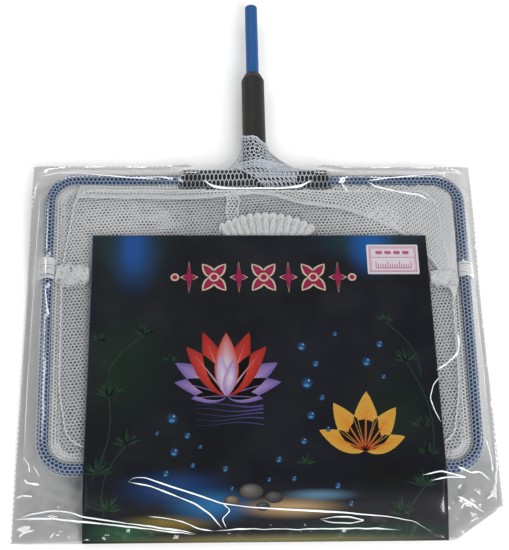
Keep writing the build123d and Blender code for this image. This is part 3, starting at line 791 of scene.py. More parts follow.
for slant, rise, pitch, seed in ((-0.75, 0.05, 1.1, 3), (-1.15, 0.22, 1.05, 4)):
    grid, edges = hexagon_grid(40, apron_high - apron_low, pitch)
    y = apron_low + grid[:, 1]
    x = grid[:, 0] - 20 + slant * (y - 40)
    down = np.maximum(40.3 - y, 0)
    in_web = np.where(y > 40.3, sock_front(x, y) > 0.05, True)
    keep = ((x > -7.3 + 1.45 * down) & (x < 11.0 - 0.2 * down) & in_web)[edges].all(axis=1)
    folded = 0.14 * np.sin(1.9 * (x - slant * (y - 40)) + seed)
    z = apron_level(x, y) + rise + np.abs(folded)
    up = np.tile((0.0, 0.0, 1.0), (len(x), 1))
    sock_parts.append(strands(np.column_stack([x, y, z]), edges[keep], up, 0.09))
sock_points, sock_faces = join(sock_parts)
sock = add_piece("netting_on_neck", sock_points, sock_faces, wrapped_nylon_painted_shade, smooth=False)
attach(sock, "net")
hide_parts("neck_wrap")

# Printed card
# Coated board printed in four colours and varnished: a night-blue underwater ground with soft blue light at
# its upper corners and a pale sea floor. A cream and pale blue streak low on the card is partly sea-floor print
# and partly a painted reflection of the film, and the olive strip along its foot is a painted reflection of the
# card in the film. Its cut edges show the board. It lies flat on the net and bends down behind the bottom bar.
printed_board, tree, shader = start_material("varnished_printed_board")
coords = add_node(tree, "ShaderNodeTexCoord")
dots = add_node(tree, "ShaderNodeTexNoise", {"Vector": coords.outputs["Object"], "Scale": 1 / (0.5 * mm), "Detail": 2.0})
clouds = add_node(tree, "ShaderNodeTexNoise", {"Vector": coords.outputs["Object"], "Scale": 1 / (14 * mm), "Detail": 3.0})
ground = add_node(
    tree, "ShaderNodeMix", {"Factor": clouds.outputs["Fac"], "A": linear("#050a0c"), "B": linear("#0a0c20")},
    data_type="RGBA",
)
print_glows_and_painted_reflections = (
    ((-29.5, 19.0), (13, 17), "#0f3a3c", 0.9), ((-28.5, 15.5), (7.2, 13), "#0a4584", 1.0),
    ((-28.9, 17.0), (4.2, 9), "#0b58a8", 1.0),
    ((26.0, 20.0), (18, 9), "#0e3f4f", 0.9), ((26.5, 17.5), (7.0, 10), "#0e62b4", 1.0),
    ((-30.0, -13.0), (14, 20), "#0e2a1c", 0.8), ((29.0, -24.0), (13, 15), "#0d2417", 0.7),
    ((-19.0, -41.5), (15, 5.0), "#0c447e", 1.0), ((-11.0, -45.0), (12, 4.2), "#1673b0", 1.0),
    # Cream and pale blue streaks low on the card: partly sea-floor print, partly painted reflection of the film
    ((6.0, -45.5), (14, 2.6), "#c8a878", 1.0), ((12.0, -43.0), (10, 1.6), "#6fa0c0", 0.7),
    ((-21.0, -48.5), (13, 2.2), "#8f7a34", 1.0), ((-30.0, -50.0), (12, 3.0), "#1d5a3a", 0.9),
    ((27.0, -39.0), (12, 5.0), "#020302", 1.0), ((24.0, -50.0), (26, 2.6), "#123c2c", 0.9),
    # The olive strip along the foot is a painted reflection of the card in the film; the two thin lines after it are
    # the board's edges
    ((2.0, -51.6), (44, 1.4), "#6f6a40", 0.9), ((-38.7, 0.0), (0.5, 60), "#6f9cc4", 0.9),
    ((40.1, -10.0), (0.5, 60), "#4c4a24", 0.9),
)
ink = soft_patches(tree, coords.outputs["Object"], result(ground), print_glows_and_painted_reflections)
facing = add_node(tree, "ShaderNodeNewGeometry")
square = add_node(tree, "ShaderNodeSeparateXYZ", {"Vector": facing.outputs["Normal"]})
face_up = add_node(tree, "ShaderNodeMath", {"Value": square.outputs["Z"]}, operation="GREATER_THAN")
face_up.inputs[1].default_value = 0.5
board = add_node(
    tree, "ShaderNodeMix", {"Factor": dots.outputs["Fac"], "A": linear("#a9b3b4"), "B": linear("#c9cfcc")},
    data_type="RGBA",
)
card_tone = add_node(tree, "ShaderNodeMix", {"Factor": face_up.outputs["Value"], "A": result(board), "B": ink},
                     data_type="RGBA")
tree.links.new(result(card_tone), shader.inputs["Base Color"])
shader.inputs["Roughness"].default_value = 0.38
shader.inputs["Specular IOR Level"].default_value = 0.2
bump = add_node(tree, "ShaderNodeBump", {"Height": dots.outputs["Fac"], "Strength": 0.06, "Distance": 0.02 * mm})
tree.links.new(bump.outputs["Normal"], shader.inputs["Normal"])
finish_node("insert_card", printed_board)

card_top = 5.8
card_bend_from = -35.15
card_bend_reach = 25.15
card_bend_turn = math.radians(22)


def card_level(y):
    """Height of the card's printed face at a height y down the card."""
    past = np.maximum(card_bend_from - np.asarray(y, float), 0)
    bend_end = card_bend_reach * math.sin(card_bend_turn)
    in_bend = np.minimum(past, bend_end)
    drop = card_bend_reach - np.sqrt(card_bend_reach ** 2 - in_bend ** 2)
    return card_top - drop - (past - in_bend) * math.tan(card_bend_turn)


# The card's print
# Flat inks on the varnish: a crimson and cream ornament along the top, a lily, an orange leaf spray, rising
# bubbles, green water plants and pebbles. Each shape is a film of ink a few hundredths of a millimetre up.
offset_ink, tree, shader = start_material("offset_printing_ink")
coords = add_node(tree, "ShaderNodeTexCoord")
screen = add_node(tree, "ShaderNodeTexNoise", {"Vector": coords.outputs["Object"], "Scale": 1 / (0.6 * mm)})
ink_layer = add_node(tree, "ShaderNodeAttribute", attribute_name="ink")
darker = add_node(tree, "ShaderNodeMix", {"Factor": screen.outputs["Fac"], "A": ink_layer.outputs["Color"],
                                          "B": linear("#101218")}, data_type="RGBA")
uneven = add_node(tree, "ShaderNodeMix", {"Factor": 0.75, "A": result(darker), "B": ink_layer.outputs["Color"]},
                  data_type="RGBA")
tree.links.new(result(uneven), shader.inputs["Base Color"])
shader.inputs["Roughness"].default_value = 0.38
shader.inputs["Specular IOR Level"].default_value = 0.2

print_points, print_faces, print_inks = [], [], []
ink_step = 0.012


def print_shape(points, middle_code, edge_code, layer, middle=None):
    """A flat printed shape: a fan of faces from a middle to its outline, shaded from one ink to another."""
    points = np.asarray(points, float)
    centre = points.mean(axis=0) if middle is None else np.asarray(middle, float)
    base = len(print_points)
    for place, code in [(centre, middle_code)] + [(point, edge_code) for point in points]:
        print_points.append((place[0], place[1], float(card_level(place[1])) + 0.015 + ink_step * layer))
        print_inks.append(linear(code))
    count = len(points)
    for k in range(count):
        print_faces.append((base, base + 1 + k, base + 1 + (k + 1) % count))


def print_line(points, start_width, end_width, start_code, end_code, layer):
    """A printed line that tapers and shades from its start to its end."""
    points = np.asarray(points, float)
    run = np.gradient(points, axis=0)
    run /= np.maximum(np.linalg.norm(run, axis=1, keepdims=True), 1e-9)
    across = np.stack([-run[:, 1], run[:, 0]], axis=1)
    base = len(print_points)
    count = len(points)
    start_ink, end_ink = np.array(linear(start_code)), np.array(linear(end_code))
    for k in range(count):
        t = k / (count - 1)
        half = (start_width + (end_width - start_width) * t) / 2
        for sign in (-1, 1):
            place = points[k] + sign * half * across[k]
            print_points.append((place[0], place[1], float(card_level(place[1])) + 0.015 + ink_step * layer))
            print_inks.append((start_ink + (end_ink - start_ink) * t).tolist())
    for k in range(count - 1):
        print_faces.append((base + 2 * k, base + 2 * k + 2, base + 2 * k + 3, base + 2 * k + 1))


def petal(x, y, turn, length, width, bow=0.0, count=12):
    """Outline of a petal from its foot along a turn, in degrees from straight up."""
    t = np.linspace(0, 1, count)
    half = width / 2 * np.sin(math.pi * t ** 0.8) ** 0.85
    along = np.concatenate([t, t[::-1][1:-1]]) * length
    aside = np.concatenate([half, -half[::-1][1:-1]]) + bow * np.sin(math.pi * np.concatenate([t, t[::-1][1:-1]]) / 2)
    a = math.radians(turn)
    return np.stack([x + aside * math.cos(a) + along * math.sin(a), y - aside * math.sin(a) + along * math.cos(a)], axis=1)


def ring(x, y, radius, count=16, tall=1.0):
    """Points of a circle, or of an upright oval."""
    a = np.arange(count) * 2 * math.pi / count
    return np.stack([x + radius * np.cos(a), y + tall * radius * np.sin(a)], axis=1)


# The ornament: lozenges and leaves in crimson, each with a cream edge
crimson, crimson_deep, cream = "#c2185f", "#9b1450", "#efd9b8"
ornament_y, ornament_height = 9.2, 7.4
for k in range(7):
    x = -15.9 + 5.75 * k
    tall = ornament_height * (1.0 if k % 2 == 0 else 0.8)
    for grow, middle_code, edge_code, layer in ((0.42, cream, cream, 1), (0.0, crimson, crimson_deep, 2)):
        if k % 2 == 0:
            half_w, half_h = 1.75 + grow, tall / 2 + grow
            lozenge = [(x - half_w, ornament_y), (x - 0.5, ornament_y + 0.9), (x, ornament_y + half_h),
                       (x + 0.5, ornament_y + 0.9), (x + half_w, ornament_y), (x + 0.5, ornament_y - 0.9),
                       (x, ornament_y - half_h), (x - 0.5, ornament_y - 0.9)]
            print_shape(lozenge, middle_code, edge_code, layer)
        else:
            for turn in (-38, 38, 142, 218):
                leaf = petal(x, ornament_y, turn, tall / 2 + 1.1 + grow, 1.7 + 2 * grow)
                print_shape(leaf, middle_code, edge_code, layer)
            print_shape(ring(x, ornament_y, 0.75 + grow), middle_code, edge_code, layer + 2)
for x in (-19.2, 21.9):
    print_shape(ring(x, ornament_y, 1.0), cream, cream, 1)
    print_shape(ring(x, ornament_y, 0.6), crimson, crimson_deep, 2)

# The lily: lavender petals outside, red ones inside, and a pale heart
lily_x, lily_y = -7.5, -20.5
for turn, length, width, bow in ((-82, 12, 4.6, 1.6), (82, 12.5, 4.6, -1.6), (-60, 14, 5.2, 1.2), (60, 14, 5.2, -1.2),
                                 (-98, 8, 3.0, 0.5), (98, 8, 3.0, -0.5)):
    print_shape(petal(lily_x, lily_y, turn, length, width, bow), "#c9a8dc", "#7c67b4", 1)
    print_line(petal(lily_x, lily_y, turn, length * 0.85, 0.01, bow, 8)[:8], 0.3, 0.1, "#7a5fb0", "#a68acb", 2)
for turn, length, width, bow in ((-40, 15, 5.0, 0.8), (40, 15, 5.0, -0.8), (-20, 16.5, 5.0, 0.4), (20, 16.5, 5.0, -0.4)):
    print_shape(petal(lily_x, lily_y, turn, length, width, bow), "#e8472f", "#b92a22", 3)
    print_line(petal(lily_x, lily_y, turn, length * 0.8, 0.01, bow, 8)[:8], 0.5, 0.15, "#e6d8ea", "#d3455a", 4)
print_shape(petal(lily_x, lily_y, 0, 15.5, 5.4), "#eadcf0", "#d8553c", 5)
print_shape(petal(lily_x, lily_y, -9, 10, 3.0), "#f1e9f5", "#caa9da", 6)
print_shape(petal(lily_x, lily_y, 10, 9, 2.8), "#f1e9f5", "#b58ccc", 7)
for k in range(5):
    drift = np.linspace(0, 1, 10)
    print_line(np.stack([lily_x - 7 + 15 * drift, lily_y - 2.2 - 1.1 * k + 0.4 * np.sin(6 * drift + k)], axis=1),
               0.1, 0.5 - 0.07 * k, "#2e3160", "#5a4c97", 1)

# The orange spray: broad fluted leaves with yellow tips and red veins
print_shape(ring(22.5, -29.8, 3.6), "#d9641f", "#c84a1c", 1)
for x, y, turn, length, width in ((22.5, -33.5, -64, 11, 4.6), (22.5, -33.5, -30, 13, 5.4), (22.5, -33.5, 4, 14, 5.6),
                                  (22.5, -33.5, 36, 12.5, 5.0), (22.5, -33.5, 70, 9.5, 4.0)):
    print_shape(petal(x, y, turn, length, width), "#f09a2c", "#e9b94a", 1)
    print_line(petal(x, y, turn, length * 0.9, 0.01, 0.0, 8)[:8], 0.55, 0.1, "#c8361c", "#f0b548", 2)
    for fork in (-14, 14):
        print_line(petal(x, y, turn + fork, length * 0.7, 0.01, 0.0, 8)[:8], 0.25, 0.06, "#d4501f", "#f3c35b", 2)

# Water plants: tufts of narrow blades on thin stems
rng = np.random.default_rng(11)
for x, y, size, count in ((-33.5, -20.5, 5.2, 11), (-29.5, -32.0, 4.4, 10), (-35.5, -38.5, 5.0, 11), (-33.0, -46.0, 4.2, 10),
                          (-26.0, -5.5, 3.4, 8), (-36.0, -7.0, 3.0, 7), (33.0, -12.5, 4.4, 10), (35.5, -28.0, 3.6, 9),
                          (35.0, -41.5, 4.6, 11), (30.0, -47.0, 4.0, 10), (29.0, -2.5, 2.8, 7), (9.5, -36.5, 3.0, 8),
                          (-20.0, -12.0, 2.6, 7), (36.3, -34.5, 3.8, 9)):
    for k in range(count):
        lean = (k / (count - 1) - 0.5) * 150 + rng.uniform(-7, 7)
        length = size * rng.uniform(0.65, 1.0)
        code = ("#1c4a33", "#235a3a", "#173f31", "#2a6640")[k % 4]
        blade = petal(x, y, lean, length, 0.45, rng.uniform(-0.6, 0.6))
        blade[:, 0] = np.clip(blade[:, 0], -38.1, 39.5)
        print_shape(blade, code, "#12301f", 1)
for start, end, bow in (((-33.5, -20.5), (-36.8, -40), 1.8), ((-29.5, -32), (-34, -47), -2.2), ((33, -12.5), (37.5, -34), 2.0),
                        ((35, -41.5), (31, -51), -1.4), ((-26, -5.5), (-34, -18), -2.4), ((29, -2.5), (36, -16), 2.2)):
    t = np.linspace(0, 1, 16)
    stem = np.stack([start[0] + (end[0] - start[0]) * t + bow * np.sin(math.pi * t), start[1] + (end[1] - start[1]) * t],
                    axis=1)
    print_line(stem, 0.16, 0.28, "#24523a", "#1a3b2a", 1)

# Bubbles: a dark rim, a clear blue body and a bright lower crescent
for x, y, radius in ((9.5, -8.5, 1.1), (12.5, -12.8, 0.8), (10.4, -17.5, 1.35), (13.6, -21.0, 0.7), (11.0, -25.2, 1.0),
                     (14.6, -28.4, 0.6), (9.2, -31.2, 0.8), (-19.5, -25.8, 1.2), (-16.2, -29.8, 0.75), (-19.0, -33.6, 1.0),
                     (-15.0, -36.6, 0.6), (-20.8, -38.4, 0.8), (-13.4, -32.4, 0.5), (27.2, -8.0, 0.9), (24.0, -12.4, 1.1),
                     (27.6, -16.0, 0.6), (17.2, -5.4, 0.6), (-22.8, -29.2, 0.5), (6.8, -39.6, 0.6), (3.6, -35.4, 0.75),
                     (1.4, -39.8, 0.5), (16.2, -41.2, 0.7), (19.0, -44.8, 0.6), (-8.0, -37.4, 0.7), (-6.6, -41.6, 0.5)):
    print_shape(ring(x, y, radius, tall=1.12), "#1d5f9d", "#0c2748", 3)
    print_shape(ring(x - 0.1 * radius, y - 0.42 * radius, 0.55 * radius, tall=0.6), "#62b1de", "#2a78b5", 4)
    print_shape(ring(x + 0.3 * radius, y + 0.45 * radius, 0.17 * radius, 8), "#d8ecf6", "#9fcbe6", 5)

# Pebbles on the sea floor
for x, y, radius, tall, code, edge in ((-2.5, -42.2, 2.6, 0.62, "#8f8a84", "#3a3a3c"), (2.4, -43.4, 2.0, 0.6, "#6f6a66", "#2c2c30"),
                                       (-6.6, -44.0, 1.7, 0.62, "#a79a83", "#463e36"), (0.0, -45.2, 1.5, 0.6, "#5d666c", "#25282c"),
                                       (24.5, -47.8, 1.8, 0.6, "#4f4c49", "#1d1d1f")):
    print_shape(ring(x, y, radius, 18, tall), code, edge, 2, middle=(x - 0.3 * radius, y + 0.25 * radius))

card_print = add_piece("card_print", print_points, print_faces, offset_ink, smooth=False)
layer = card_print.data.color_attributes.new("ink", "FLOAT_COLOR", "POINT")
layer.data.foreach_set("color", np.array(print_inks, float).ravel())
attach(card_print, "card")

# Label on the card
# A small lavender-white paper label with a printed crimson frame, its two fields ruled apart, a plain bar in
# the upper one and a row of even scale ticks in the lower.
label_paper, tree, shader = start_material("coated_label_paper")
coords = add_node(tree, "ShaderNodeTexCoord")
fibre = add_node(tree, "ShaderNodeTexNoise", {"Vector": coords.outputs["Object"], "Scale": 1 / (0.7 * mm), "Detail": 3.0})
label_tone = add_node(
    tree, "ShaderNodeMix", {"Factor": fibre.outputs["Fac"], "A": linear("#e9dfe8"), "B": linear("#f4edf2")},
    data_type="RGBA",
)
tree.links.new(result(label_tone), shader.inputs["Base Color"])
shader.inputs["Roughness"].default_value = 0.5
finish_node("size_sticker", label_paper)

label_ink, tree, shader = start_material("crimson_label_ink")
coords = add_node(tree, "ShaderNodeTexCoord")
press = add_node(tree, "ShaderNodeTexNoise", {"Vector": coords.outputs["Object"], "Scale": 1 / (0.4 * mm)})
press_tone = add_node(
    tree, "ShaderNodeMix", {"Factor": press.outputs["Fac"], "A": linear("#c04a80"), "B": linear("#cf6d97")},
    data_type="RGBA",
)
tree.links.new(result(press_tone), shader.inputs["Base Color"])
shader.inputs["Roughness"].default_value = 0.5
label_low, label_high = (np.array(corner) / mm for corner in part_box("size_sticker"))
label_points, label_faces = [], []


def label_bar(left, low, right, high):
    """A printed bar on the label, measured from its lower left corner."""
    base = len(label_points)
    z = label_high[2] + 0.012
    for x, y in ((left, low), (right, low), (right, high), (left, high)):
        label_points.append((label_low[0] + x, label_low[1] + y, z))
    label_faces.append((base, base + 1, base + 2, base + 3))


label_wide, label_tall = label_high[0] - label_low[0], label_high[1] - label_low[1]
for inset, line in ((0.55, 0.16), (0.9, 0.1)):
    label_bar(inset, inset, label_wide - inset, inset + line)
    label_bar(inset, label_tall - inset - line, label_wide - inset, label_tall - inset)
    label_bar(inset, inset, inset + line, label_tall - inset)
    label_bar(label_wide - inset - line, inset, label_wide - inset, label_tall - inset)
label_bar(0.9, 4.35, label_wide - 0.9, 4.5)
for k in range(4):
    label_bar(2.1 + 2.1 * k, 5.25, 3.6 + 2.1 * k, 6.1)
for k in range(16):
    label_bar(1.95 + 0.55 * k, 1.7, 2.13 + 0.55 * k, 3.4 if k % 5 == 0 else 2.7)
label_bar(1.95, 1.5, 1.95 + 0.55 * 15 + 0.18, 1.7)
label_print = add_piece("label_print", label_points, label_faces, label_ink, smooth=False)
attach(label_print, "card")

# Clear film bag
# Two sheets of polypropylene film, about 0.05 mm thick, heat-welded and cut with a serrated knife along both
# sides and the top; the mouth is open. The top is notched for the neck. The front sheet is stretched over
# the net and the card and creases where it runs off them; the back sheet lies flat.
clear_film, tree, shader = start_material("clear_polypropylene_film")
film_passes = "#e6e6e6"
tree.nodes.remove(shader)
tinted = add_node(tree, "ShaderNodeBsdfTransparent", {"Color": linear(film_passes)})
gloss = add_node(tree, "ShaderNodeBsdfAnisotropic", {"Color": linear("#ffffff"), "Roughness": 0.09})
film_ior = 1.49
seen = add_node(tree, "ShaderNodeNewGeometry")
same_both_ways = add_node(tree, "ShaderNodeMapRange", {"Value": seen.outputs["Backfacing"], "To Min": film_ior,
                                                       "To Max": 1 / film_ior})
mirror = add_node(tree, "ShaderNodeFresnel", {"IOR": same_both_ways.outputs["Result"]})
both_faces = add_node(tree, "ShaderNodeMath", {"Value": mirror.outputs["Fac"]}, operation="MULTIPLY")
both_faces.inputs[1].default_value = 1.8
shiny = add_node(tree, "ShaderNodeMixShader")
tree.links.new(both_faces.outputs["Value"], shiny.inputs[0])
tree.links.new(tinted.outputs["BSDF"], shiny.inputs[1])
tree.links.new(gloss.outputs["BSDF"], shiny.inputs[2])
coords = add_node(tree, "ShaderNodeTexCoord")
haze = add_node(tree, "ShaderNodeTexNoise", {"Vector": coords.outputs["Object"], "Scale": 1 / (9 * mm), "Detail": 4.0})
cloudy = add_node(tree, "ShaderNodeMapRange", {"Value": haze.outputs["Fac"], "From Min": 0.4, "From Max": 0.8,
                                               "To Min": 0.0, "To Max": 0.008})
veil = add_node(tree, "ShaderNodeBsdfDiffuse", {"Color": linear("#e4e6e8")})
film_mix = add_node(tree, "ShaderNodeMixShader")
tree.links.new(cloudy.outputs["Result"], film_mix.inputs[0])
tree.links.new(shiny.outputs["Shader"], film_mix.inputs[1])
tree.links.new(veil.outputs["BSDF"], film_mix.inputs[2])
tree.links.new(film_mix.outputs["Shader"], tree.nodes["Material Output"].inputs["Surface"])

film_low, film_high = (np.array(corner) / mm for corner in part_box("bag_front_film"))
cut_across, cut_up = 11.1, 7.6
notch_edge = [(15.6, film_high[1]), (14.5, 37.2), (13.4, 35.0), (10.7, 33.4), (5.8, 32.75), (-1.4, 32.6),
              (-7.4, 32.8), (-10.5, 33.4), (-12.4, 35.0), (-14.2, 38.2), (-15.6, film_high[1])]
film_outline = np.array([
    (film_low[0], film_low[1]), (film_high[0] - cut_across, film_low[1]), (film_high[0], film_low[1] + cut_up),
    (film_high[0], film_high[1]), *notch_edge, (film_low[0], film_high[1]),
])


def inside_outline(points, outline):
    """Distance in from an outline, negative outside it."""
    near = np.full(len(points), np.inf)
    inside = np.zeros(len(points), bool)
    for a, b in zip(outline, np.roll(outline, -1, axis=0)):
        run = b - a
        t = np.clip(((points - a) @ run) / (run @ run), 0, 1)
        near = np.minimum(near, np.linalg.norm(points - a - t[:, None] * run, axis=1))
        crosses = (a[1] > points[:, 1]) != (b[1] > points[:, 1])
        with np.errstate(divide="ignore", invalid="ignore"):
            at = a[0] + (points[:, 1] - a[1]) / (b[1] - a[1]) * (b[0] - a[0])
        inside ^= crosses & (points[:, 0] < at)
    return np.where(inside, near, -near)


def serrated(points, depth):
    """Draws the welded edges in by the teeth of the knife."""
    x, y = points[:, 0], points[:, 1]
    on_side = np.minimum(np.abs(x - film_low[0]), np.abs(x - film_high[0])) < 2
    on_top = np.abs(y - film_high[1]) < 2
    along = np.where(on_side, y, x)
    teeth = np.abs((along / 1.25) % 1 - 0.5) * 2 * 0.34
    return depth - np.where(on_side | on_top, teeth, 0.0)


def film_support(x, y):
    """The height of what the front film lies on."""
    depth = inside_frame(np.column_stack([x, y]), 0.0)
    bar = bar_level + np.sqrt(np.maximum(1.72 ** 2 - depth ** 2, 0))
    level = np.where(np.abs(depth) < 1.72, bar, 0.4)
    level = np.where(depth > 1.0, np.maximum(level, 5.0), level)
    on_card = (x > -38.8) & (x < 40.2) & (y < 20.6) & (y > film_low[1] - 1)
    level = np.where(on_card, np.maximum(level, card_level(y) + 0.12), level)
    on_label = (x > label_low[0] - 0.2) & (x < label_high[0] + 0.2) & (y > label_low[1] - 0.2) & (y < label_high[1] + 0.2)
    level = np.where(on_label, label_high[2] + 0.1, level)
    arm = bar_level + np.sqrt(np.maximum(3.05 ** 2 - (y - frame_half_height) ** 2, 0))
    arm = bar + (arm - bar) * (1 - smooth_step(np.abs(x), arm_end - 0.4, arm_end + 2.4))
    level = np.where((np.abs(x) < arm_end + 2.4) & (np.abs(y - frame_half_height) < 3.05), np.maximum(level, arm), level)
    for side, low, high in ((-1, 9.0, 15.2), (1, 9.6, 13.8)):
        off = np.abs(x - side * side_half(y))
        lash = bar_level + np.sqrt(np.maximum(2.25 ** 2 - off ** 2, 0))
        level = np.where((y > low) & (y < high) & (off < 2.25), np.maximum(level, lash), level)
    level = np.where((y > 33.4) & (np.abs(x) < 12.5) & (y < 41), np.maximum(level, 7.35 - 0.08 * np.abs(x)), level)
    fan_reach = np.hypot(x - fan_centre[0], y - fan_centre[1])
    return np.where((fan_reach < fan_radius + 0.5) & (y > 20), np.maximum(level, 5.45), level)


film_cell = 0.4
film_columns = int((film_high[0] - film_low[0]) / film_cell) + 4
film_rows = int((film_high[1] - film_low[1]) / film_cell) + 4
grid_x = film_low[0] + film_cell * (np.arange(film_columns) - 1)
grid_y = film_low[1] + film_cell * (np.arange(film_rows) - 1)
film_x, film_y = np.meshgrid(grid_x, grid_y)
flat_points = np.column_stack([film_x.ravel(), film_y.ravel()])
film_depth = inside_outline(flat_points, film_outline)
support = film_support(flat_points[:, 0], flat_points[:, 1]).reshape(film_x.shape)
weld_line = 0.9
welded = ((film_x < film_low[0] + weld_line) | (film_x > film_high[0] - weld_line)
          | ((film_y > film_high[1] - weld_line) & (np.abs(film_x) > 15.0)))
weld_level = (0.5 + 2.6 * smooth_step(film_y, 2, 38)
              + 1.0 * np.exp(-(((np.abs(film_x) - 17) / 3.5) ** 2)) * (film_y > 38))
for _ in range(4):
    support[1:-1, 1:-1] = (support[1:-1, 1:-1] * 4 + support[:-2, 1:-1] + support[2:, 1:-1]
                           + support[1:-1, :-2] + support[1:-1, 2:]) / 8
film_z = np.where(welded, weld_level, support)
sag = np.where(film_y < -39, 0.0012, 0.00003)[1:-1, 1:-1]
for _ in range(1400):
    mean = film_z.copy()
    mean[1:-1, 1:-1] = (film_z[:-2, 1:-1] + film_z[2:, 1:-1] + film_z[1:-1, :-2] + film_z[1:-1, 2:]) / 4 - sag
    mean[0] = mean[1]
    film_z = np.where(welded, weld_level, np.maximum(support, mean))
for _ in range(8):
    film_z[1:-1, 1:-1] = (film_z[1:-1, 1:-1] * 4 + film_z[:-2, 1:-1] + film_z[2:, 1:-1]
                          + film_z[1:-1, :-2] + film_z[1:-1, 2:]) / 8

# Creases: each is a soft ridge along a line, with its height and half width
creases = (
    ([(-52.2, 38.1), (-47.0, 38.7), (-38.6, 37.5), (-30.1, 36.4), (-22.5, 35.9)], 0.35, 0.9),
    ([(27.0, 35.7), (35.1, 36.8), (42.5, 37.7), (46.8, 38.9), (47.6, 40.0)], 0.35, 0.9),
    ([(27.0, 35.5), (29.1, 33.9), (34.8, 32.4), (39.6, 31.6), (41.9, 29.9)], 0.4, 0.9),
    ([(20.4, 35.4), (21.1, 34.0), (22.2, 32.3)], 0.35, 0.8), ([(46.4, 39.7), (45.9, 36.8)], 0.35, 0.8),
    ([(-49.0, 14.3), (-49.0, 9.9)], 0.3, 0.7), ([(-48.9, 6.7), (-48.4, 3.0), (-47.6, -0.7)], 0.3, 0.7),
    ([(45.4, -5.0), (45.4, -8.0), (45.0, -9.8), (44.2, -11.0), (41.8, -13.2), (39.6, -14.5)], 0.4, 0.9),
    ([(40.6, -15.7), (38.6, -18.1), (37.6, -21.3), (38.5, -24.6), (39.6, -27.0)], 0.3, 0.6),
    ([(-53.2, -46.9), (-50.1, -45.7), (-45.0, -45.2), (-41.7, -45.8), (-38.1, -47.1), (-29.8, -48.5), (-19.3, -50.0),
      (-14.2, -50.9)], 0.45, 0.8),
    ([(-53.0, -46.6), (-49.0, -46.6), (-44.7, -47.0), (-39.2, -47.9), (-32.0, -48.9), (-21.1, -50.3), (-14.6, -51.1)],
     0.45, 0.9),
    ([(-24.5, -47.2), (-20.7, -47.6), (-17.4, -48.3), (-13.3, -50.0), (-10.5, -50.4)], 0.4, 0.7),
    ([(-28.9, -40.1), (-27.7, -39.2), (-25.3, -39.2), (-19.9, -41.1), (-13.5, -43.1), (-8.8, -44.7), (-2.8, -45.5),
      (7.9, -46.2), (16.5, -46.7), (27.2, -47.7), (32.5, -48.7), (35.8, -50.7)], 0.5, 0.9),
    ([(-28.9, -40.1), (-24.2, -41.0), (-19.9, -42.6), (-14.5, -44.7), (-11.3, -46.9), (-8.8, -49.8)], 0.45, 0.8),
    ([(-8.7, -44.6), (-7.0, -46.1), (-8.8, -47.9), (-7.9, -49.7)], 0.4, 0.7),
    ([(-10.3, -50.4), (-4.9, -50.0), (7.9, -50.2), (20.8, -50.1), (29.4, -50.4)], 0.35, 0.7),
    ([(12.2, -48.1), (15.4, -47.6), (18.6, -47.7), (21.8, -48.4), (18.6, -49.0), (14.3, -48.8), (12.2, -48.1)], 0.4, 0.7),
    ([(34.6, -39.1), (38.6, -38.3), (44.5, -39.2), (40.7, -39.4), (36.3, -40.3)], 0.5, 0.8),
    ([(42.3, -37.1), (45.5, -38.2), (47.7, -37.6), (50.2, -39.0)], 0.5, 0.9),
    ([(49.6, -30.1), (50.8, -33.7), (51.0, -37.1)], 0.4, 0.9), ([(48.2, -46.2), (45.2, -44.4), (42.1, -43.2)], 0.5, 0.9),
    ([(-51.6, -37.8), (-50.8, -38.9), (-47.9, -39.6)], 0.5, 0.9), ([(-53.2, -41.9), (-51.8, -41.5), (-49.5, -41.8)], 0.5, 0.8),
    ([(-52.0, -50.5), (-51.2, -49.8), (-48.9, -49.1)], 0.5, 0.9),
    ([(-51.9, -33.0), (-50.6, -35.0), (-50.3, -36.8)], 0.5, 0.7), ([(-49.6, -35.4), (-48.0, -38.0)], 0.45, 0.6),
    ([(-45.3, -51.0), (-44.5, -50.0)], 0.5, 0.8), ([(46.4, -41.6), (47.6, -42.4)], 0.4, 0.7),
    ([(43.0, -45.6), (43.6, -44.6)], 0.4, 0.7), ([(49.0, -43.2), (50.8, -41.8)], 0.5, 0.7),
    ([(44.8, -48.4), (46.6, -47.4)], 0.4, 0.6),
)


def crease_height(line, height, half_width):
    """The rise of a crease over the film's grid."""
    line = np.asarray(line, float)
    total = np.linalg.norm(np.diff(line, axis=0), axis=1).sum()
    low, high = line.min(axis=0) - 3 * half_width, line.max(axis=0) + 3 * half_width
    near = ((flat_points > low) & (flat_points < high)).all(axis=1)
    here = flat_points[near]
    best, at = np.full(len(here), np.inf), np.zeros(len(here))
    gone = 0.0
    for a, b in zip(line[:-1], line[1:]):
        run = b - a
        length = np.linalg.norm(run)
        t = np.clip(((here - a) @ run) / length ** 2, 0, 1)
        off = np.linalg.norm(here - a - t[:, None] * run, axis=1)
        closer = off < best
        best, at = np.where(closer, off, best), np.where(closer, (gone + t * length) / total, at)
        gone += length
    rise = np.zeros(len(flat_points))
    taper = smooth_step(at, 0, 0.2) * smooth_step(1 - at, 0, 0.2)
    rise[near] = height * taper * np.maximum(1 - best / (1.9 * half_width), 0)
    return rise


ridges = np.zeros(len(flat_points))
for line, height, half_width in creases:
    ridges = np.maximum(ridges, crease_height(line, 0.35 * height, half_width))
film_z = film_z.ravel() + ridges

# Loose ripples where the film hangs free, and faint ones everywhere
x, y = flat_points.T
free = smooth_step(film_z - support.ravel(), 0.15, 1.6)
ripple = (np.sin(0.9 * x + 1.7 * np.sin(0.35 * y)) * np.sin(0.55 * y + 1.3 * np.sin(0.28 * x))
          + 0.5 * np.sin(1.7 * x - 1.1 * y) + 0.4 * np.sin(2.3 * y + 0.9 * x))
film_z += 0.2 * free * (0.15 + 0.85 * smooth_step(-38 - y, 0, 4)) * ripple + 0.02 * (1 + np.sin(0.33 * x + 0.8 * np.sin(0.21 * y)) * np.sin(0.29 * y))
film_z = np.maximum(film_z, support.ravel() - 0.02)

